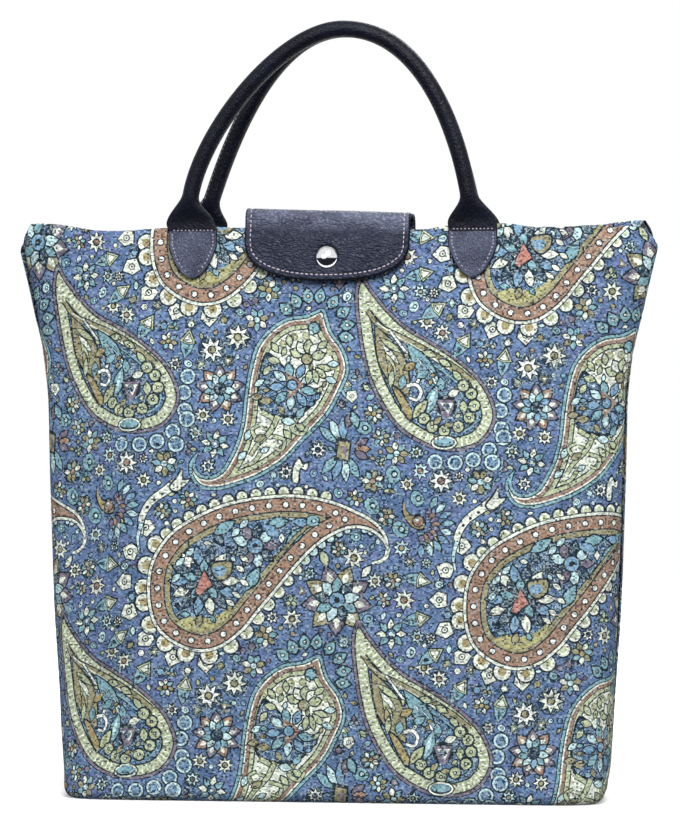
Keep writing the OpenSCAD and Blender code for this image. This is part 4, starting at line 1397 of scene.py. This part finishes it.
def flap_point(flat, out):
    """Place of a point of the flap's leather: across and along it from the back, and out from its middle."""
    x, p = flat[:, 0], flat[:, 1]
    y, z = np.transpose(on_path(p, FLAP_RUN, FLAP_PATH))
    ty, tz = np.transpose(on_path(p, FLAP_RUN, FLAP_ALONG))
    size = np.hypot(ty, tz)
    tilt = share(34, 52, p) * (1 - 0.8 * share(70, FLAP_L - 12, p))
    z = z - x * math.tan(math.radians(FLAP_TILT)) * tilt
    bow = 0.5 * np.sin(x / 19 + 0.7) * share(36, 44, p) * (1 - share(60, 66, p))
    return np.stack([x + FLAP_X, y + tz / size * out, z - ty / size * out + bow], -1)


def cap_on_flap():
    """Place of the press stud's cap on the flat flap."""
    cap = frame["nodes"]["snap_cap"]
    corners = np.array([cap.matrix_world @ Vector(c) for c in cap.bound_box]) / MM
    middle = (corners.min(0) + corners.max(0)) / 2
    front = FLAP_RUN > FLAP_L - 30
    return np.array((middle[0] - FLAP_X, np.interp(-middle[2], -FLAP_PATH[front, 1], FLAP_RUN[front])))


def flap_outline():
    """Flat outline of the flap: a round tongue at the front and a squarer end at the back."""
    a = np.linspace(0, math.pi, 61)
    c, s = np.cos(a), np.sin(a)

    def end(height, power):
        x = FLAP_W / 2 * np.sign(c) * np.abs(c) ** (2 / power)
        return np.stack([x, height * np.abs(s) ** (2 / power)], 1)
    tongue = end(FLAP_ROUND, 2.4) + (0, FLAP_L - FLAP_ROUND)
    anchor = end(ANCHOR_ROUND, 3.2) * (-1, -1) + (0, ANCHOR_ROUND)
    return even(np.concatenate([tongue, anchor]), 1.6)[0]


FLAP_LOOPS = (0.25, 0.7, 1.3, 2.4, 3.2, FLAP_SEAM, 4.4, 5.2)
CAP_LOOPS = (-0.6, 0.0, 0.5, 1.1, 2.0, 3.0)
FLAP_PITCH, FLAP_STITCH = 3.1, (2.2, 0.44)


def flap_stitches(outline):
    line, normal = even(inset(outline, FLAP_SEAM), FLAP_PITCH)
    along = np.stack([-normal[:, 1], normal[:, 0]], 1)
    here = flap_point(line, FLAP_T / 2 - 0.22)
    ahead = flap_point(line + along, FLAP_T / 2 - 0.22)
    above = flap_point(line, FLAP_T / 2 + 1)
    return stitches(zip(here, ahead - here, above - here), *FLAP_STITCH)


def flap():
    """Leather flap with a sewn groove, a painted edge and a ring pressed in by the stud's cap, with painted
    shade in that ring.
    """
    outline, stud = flap_outline(), cap_on_flap()
    loops = [even(inset(outline, d), 1.7)[0] for d in FLAP_LOOPS]
    inner = inside_of(outline, grid(np.arange(-50, 51, 2.5), np.arange(3, FLAP_L - 2, 2.0)), 6.0)
    inner = inner[np.linalg.norm(inner - stud, axis=1) > CAP_R + 3.5]
    round_cap = [disc(stud, CAP_R + d, 48) for d in CAP_LOOPS]
    flat, tris, _ = flat_mesh(outline, [], np.concatenate(loops + [inner] + round_cap))
    away = np.abs(outline_room(outline, flat))
    ring = np.linalg.norm(flat - stud, axis=1) - CAP_R
    thick = FLAP_T / 2 * np.sqrt(1 - (1 - np.clip(away / 1.3, 0, 1)) ** 2)
    relief = 0.15 * ridge(away, 2.0, 0.9) - 0.4 * ridge(away, FLAP_SEAM, 0.75)
    pressed = 0.8 * ridge(np.maximum(ring, 0), 0, 0.9)
    edge = away < 1e-4
    twin = np.arange(len(flat))
    twin[~edge] = len(flat) + np.arange((~edge).sum())
    points = np.concatenate([flap_point(flat, thick + relief - pressed), flap_point(flat, -thick)[~edge]])
    faces = [tuple(f) for f in tris] + [tuple(twin[f[::-1]]) for f in tris]
    # Dark slot: real edge paint along the rim, and painted shade in the ring round the stud's cap
    dark = (away[tris].mean(1) < 1.0) | (ring[tris].mean(1) < 0.55)
    slots = np.where(dark, 2, 0).tolist() * 2
    upper, lower = np.zeros(len(flat)), np.full(len(flat), 9.0)
    rest = np.concatenate([np.column_stack([flat, upper]), np.column_stack([flat, lower])[~edge]])
    obj = sewn_object("flap_leather", points, faces, slots, rest, [flap_stitches(outline)],
                      [FLAP_LEATHER, FLAP_THREAD, DARK_LEATHER_AND_SHADE])
    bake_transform(obj)
    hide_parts("flap", "flap_anchor")


# Handles and tabs
TAB_POINT = 0.66 * TAB_L
TAB_SQUARE, GRIP_ROUND = 7.0, 2.0
SKIN_STEPS = 25
EDGE_PITCH, TOP_PITCH, TAB_STITCH = 2.2, 2.4, (1.5, 0.5)
ROLL_PITCH, ROLL_STITCH = 3.0, (2.0, 0.4)


def bezier(p, count):
    """Points and directions of a curve, closer together at its start."""
    t = np.linspace(0, 1, count)[:, None] ** 1.15
    a, b, c, d = (np.array(q, float) for q in p)
    s = 1 - t
    at = s ** 3 * a + 3 * s * s * t * b + 3 * s * t * t * c + t ** 3 * d
    return at, 3 * s * s * (b - a) + 6 * s * t * (c - b) + 3 * t * t * (d - c)


def tab_half(e):
    """Half width of a tab at e from its tip: straight sides, then an arch that ends in a point."""
    half = TAB_W / 2
    r = (TAB_POINT ** 2 + half ** 2) / (2 * half)
    bend = np.clip(e / TAB_POINT, 0, 1)
    arch = half - r + np.sqrt(np.maximum(r * r - (TAB_POINT * (1 - bend)) ** 2, 0))
    return np.maximum(arch - 1.5 * np.sin(math.pi * bend) ** 0.6, 0.05)


def tab_height(e):
    """Height of the tab at e from its tip, below its top edge."""
    return e - TAB_L - 1.6 * share(0.6 * TAB_L, 0, e) ** 2


def tab_wall(z):
    """Depth of the tab's middle over the cloth, and of the upright handle above it."""
    return half_d(np.minimum(z, TAB_Z)) + SEWN_GAP + TAB_T / 2


def leg(p):
    """Stations of half a handle from its tab's tip to its top: place, tilt, half width, half depth, power."""
    e = np.concatenate([[0.02, 0.3, 0.8, 1.5, 2.4], np.linspace(3.5, TAB_L - 0.6, 22)])
    thin = TAB_T / 2 * np.sqrt(np.clip(e / 1.2, 0.02, 1))
    plain = np.ones(len(e))
    tab = np.stack([plain * p[0][0], tab_height(e), plain * 0, tab_half(e), thin, plain * TAB_SQUARE], 1)
    at, d = bezier(p, 64)
    s = np.minimum(at[:, 1] / FLARE_H, 1)
    level = (TAB_DROP + 1.5) / FLARE_H
    w = ease((s - level) / (1 - level))
    tilt = np.arctan2(d[:, 0], d[:, 1]) * ease(at[:, 1] / FLARE_H)
    power = mix(TAB_SQUARE, GRIP_ROUND, ease(1.2 * s))
    roll = np.column_stack([at, tilt, mix(TAB_W / 2, GRIP_R, w), mix(TAB_T / 2, GRIP_R, w), power])
    return np.concatenate([tab, roll])


def handle_skin(stations, side):
    """Points, flat places, faces and material slots of a handle's leather."""
    half = np.sin(np.linspace(-1, 1, SKIN_STEPS) * math.pi / 2)
    u = np.concatenate([half, half[-2:0:-1]])
    face = np.concatenate([np.ones(SKIN_STEPS), -np.ones(SKIN_STEPS - 2)])
    rows, rest = [], []
    for run, (x, z, tilt, w, h, power) in zip(path_run(stations[:, :2]), stations):
        rise = h * (1 - np.abs(u) ** power) ** (1 / power) * face
        if z < 0:
            inner = w * (1 - np.abs(u))
            rim = 0.45 * ridge(inner, 1.1, 0.7) - 0.3 * ridge(inner, 2.7, 0.7)
            rise = rise + np.where(face > 0, rim, 0) * share(0, 4, w)
        depth = side * (tab_wall(z + TAB_Z) + rise)
        rows.append(np.stack([x + u * w * math.cos(tilt), depth, TAB_Z + z - u * w * math.sin(tilt)], 1))
        rest.append(np.stack([np.full(len(u), run), u * w, rise], 1))
    count = len(rows) * len(u)
    faces = grid_faces(len(rows), len(u), True)
    faces += [tuple(range(len(u)))[::-1], tuple(range(count - len(u), count))]
    # Flares and grips take the near-black leather, partly as painted shade; the tabs' edges take it as edge
    # paint
    middle = np.abs(u + np.roll(u, -1)) / 2 < 0.95
    slots = [2 if z < 0.2 and m else 0 for z in stations[:-1, 1] for m in middle] + [0, 0]
    return np.concatenate(rows), [f[::-side] for f in faces], slots, np.concatenate(rest)


def tab_stitches(middles, side):
    """Stitches round each tab and across its top."""
    rows = []
    for x in middles:
        for e in np.arange(4.4, TAB_L - 0.5, EDGE_PITCH):
            slope = tab_half(e + 0.5) - tab_half(e - 0.5)
            w = tab_half(e) - 2.5 * math.hypot(1, slope)
            z = TAB_Z + tab_height(e)
            for q in (-1, 1):
                if w > 0.6:
                    centre = (x + q * w, side * (tab_wall(z) + TAB_T / 2 - 0.2), z)
                    rows.append((centre, (q * slope, 0, 1), (0, side, 0)))
        for across in np.arange(-TAB_W / 2 + 3.6, TAB_W / 2 - 3, TOP_PITCH):
            centre = (x + across, side * (tab_wall(TAB_Z) + TAB_T / 2 - 0.15), TAB_Z + 0.9)
            rows.append((centre, (1, 0, 0), (0, side, 0)))
    return stitches(rows, *TAB_STITCH)


def seam_stitches(stations, side):
    """Stitches of the seam along the rolled grip."""
    grip = stations[stations[:, 1] > FLARE_H * 0.7]
    run = path_run(grip[:, :2])
    rows = []
    for q in np.arange(1.5, run[-1], ROLL_PITCH):
        x, z, tilt, w = on_path(q, run, grip)[:4]
        out = np.array((-0.75 * math.cos(tilt), -0.66 * side, 0.75 * math.sin(tilt)))
        centre = np.array((x, side * tab_wall(TAB_Z), z + TAB_Z)) + out * (w - 0.1)
        rows.append((centre, (math.sin(tilt), 0, math.cos(tilt)), out))
    return stitches(rows, *ROLL_STITCH)


def handle(name, left, right, side, tabs):
    """Rolled handle with flared ends and sewn tabs, in one skin; side is -1 in front and 1 at the rear."""
    stations = np.concatenate([leg(left), leg(right)[::-1][1:] + (0, 0, math.pi, 0, 0, 0)])
    sewn = [tab_stitches((left[0][0], right[0][0]), side), seam_stitches(stations, side)]
    looks = [DARK_LEATHER_AND_SHADE, TAB_THREAD, TAB_LEATHER]
    obj = sewn_object(name + "_leather", *handle_skin(stations, side), sewn, looks)
    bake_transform(obj)
    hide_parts(name, *tabs)


def half_curve(foot, pull, rise, lean, shoulder):
    """Curve of half a handle: foot, pull of the foot (across, share of the rise), top and its shoulder."""
    return ((foot, 0.3), (pull[0], pull[1] * rise), (lean + shoulder * rise, rise), (lean, rise))


FRONT_LEFT = half_curve(-TAB_X, (-104.7, 0.283), FRONT_RISE, FRONT_LEAN, -0.367)
FRONT_RIGHT = half_curve(TAB_X, (85.4, 0.389), FRONT_RISE, FRONT_LEAN, 0.433)
REAR_LEFT = half_curve(-TAB_X, (-78, 0.282), REAR_RISE, REAR_LEAN, -0.417)
REAR_RIGHT = half_curve(TAB_X, (81.2, 0.315), REAR_RISE, REAR_LEAN, 0.457)

# The bag
BACK_PRINT_PX = (150, 170)
panel("front_panel", (0, 0), 1)
panel("back_panel", BACK_PRINT_PX, -1)
base()
lining()
tape("zip_tape_front", -1)
tape("zip_tape_back", 1)
flap()
handle("front_handle", FRONT_LEFT, FRONT_RIGHT, -1, ("front_tab_left", "front_tab_right"))
handle("rear_handle", REAR_LEFT, REAR_RIGHT, 1, ("rear_tab_left", "rear_tab_right"))

CAD_LOOKS = dict(snap_cap=CHROME, snap_socket=BRUSHED, snap_stud=BRUSHED, snap_post=BRUSHED,
                 zip_slider=BRUSHED, zip_pull=BRUSHED, zip_bottom_stop=BRUSHED, zip_top_stops=BRUSHED,
                 zip_teeth_front=TEETH, zip_teeth_back=TEETH)
for node_name, look in CAD_LOOKS.items():
    data = frame["nodes"][node_name].data
    data.materials.clear()
    data.materials.append(look)

# Stage, light, camera
FLOOR_HALF, FLOOR_FRONT, FLOOR_BACK = 2500, -165, 3000
WHITE = (1, 1, 1, 1)


def floor():
    """White floor; to the light that reaches the bag it is a quieter grey, and it keeps the shadow."""
    m, tree = material("Floor", Roughness=0.8, Specular_IOR_Level=0.0, Emission_Color=WHITE)
    co = object_place(tree)
    path = node(tree, "ShaderNodeLightPath")
    seen = math_node(tree, "MAXIMUM", path["Is Camera Ray"], path["Is Glossy Ray"])
    seen = math_node(tree, "MAXIMUM", seen, path["Is Transmission Ray"])
    white = blend_colour(tree, noise(tree, co, 3.0, 2.0)[0], rgba("#f4f4f4"), rgba("#f8f8f8"))
    away = vector_node(tree, "LENGTH", co)["Value"]
    glow = math_node(tree, "MULTIPLY", seen, ranged(tree, away, 0.3, 1.0, 0.2, 0.8))
    shade(tree, Base_Color=blend_colour(tree, seen, rgba("#9a9a9a"), white), Emission_Strength=glow)
    corners = [(-FLOOR_HALF, FLOOR_FRONT, 0), (FLOOR_HALF, FLOOR_FRONT, 0), (FLOOR_HALF, FLOOR_BACK, 0),
               (-FLOOR_HALF, FLOOR_BACK, 0)]
    obj = mesh_object("floor", corners, [(0, 1, 2, 3)], [m])


def area_light(name, place, aim, size, power):
    data = bpy.data.lights.new(name, "AREA")
    data.size = size
    data.energy = power
    obj = bpy.data.objects.new(name, data)
    obj.location = place
    obj.rotation_euler = (Vector(aim) - Vector(place)).to_track_quat("-Z", "Y").to_euler()
    bpy.context.scene.collection.objects.link(obj)


def world():
    """Soft light from above; mirrors see white over a dark floor line, and the camera sees white."""
    studio = bpy.data.worlds.new("Studio")
    bpy.context.scene.world = studio
    studio.use_nodes = True
    tree = studio.node_tree
    up = node(tree, "ShaderNodeSeparateXYZ", {0: node(tree, "ShaderNodeTexCoord")["Generated"]})[2]
    path = node(tree, "ShaderNodeLightPath")
    soft = blend_colour(tree, ranged(tree, up, 0, 1, -0.1, 0.6), (0.12, 0.12, 0.13, 1), (0.42, 0.42, 0.43, 1))
    mirrored = blend_colour(tree, ranged(tree, up, 0, 1, -0.03, 0.03), (0.02, 0.02, 0.03, 1), WHITE)
    colour = blend_colour(tree, path["Is Glossy Ray"], soft, mirrored)
    seen = math_node(tree, "MAXIMUM", path["Is Camera Ray"], path["Is Transmission Ray"])
    feed(tree, tree.nodes["Background"].inputs["Color"], blend_colour(tree, seen, colour, WHITE))


def camera():
    a = math.radians(CAM_TURN)
    target = Vector((CAM_X * math.cos(a), CAM_X * math.sin(a), CAM_Z)) * MM
    data = bpy.data.cameras.new("Camera")
    data.sensor_width = SENSOR
    data.lens = SENSOR * CAM_FAR / (PHOTO_H * MM_PER_PX)
    obj = bpy.data.objects.new("Camera", data)
    obj.location = target + Vector((math.sin(a), -math.cos(a), 0)) * CAM_FAR * MM
    obj.rotation_euler = (target - obj.location).to_track_quat("-Z", "Y").to_euler()
    bpy.context.scene.collection.objects.link(obj)
    bpy.context.scene.camera = obj


floor()
area_light("Key", (0.25, -1.2, 1.3), (0, 0, 0.32), 0.8, 31)
area_light("Fill", (-0.9, -2.2, 0.7), (0, 0, 0.25), 1.5, 6)
area_light("Back", (0.3, 1.6, 1.4), (0, 0, 0.2), 1.2, 16)
world()
camera()
bpy.context.scene.view_settings.view_transform = "Standard"
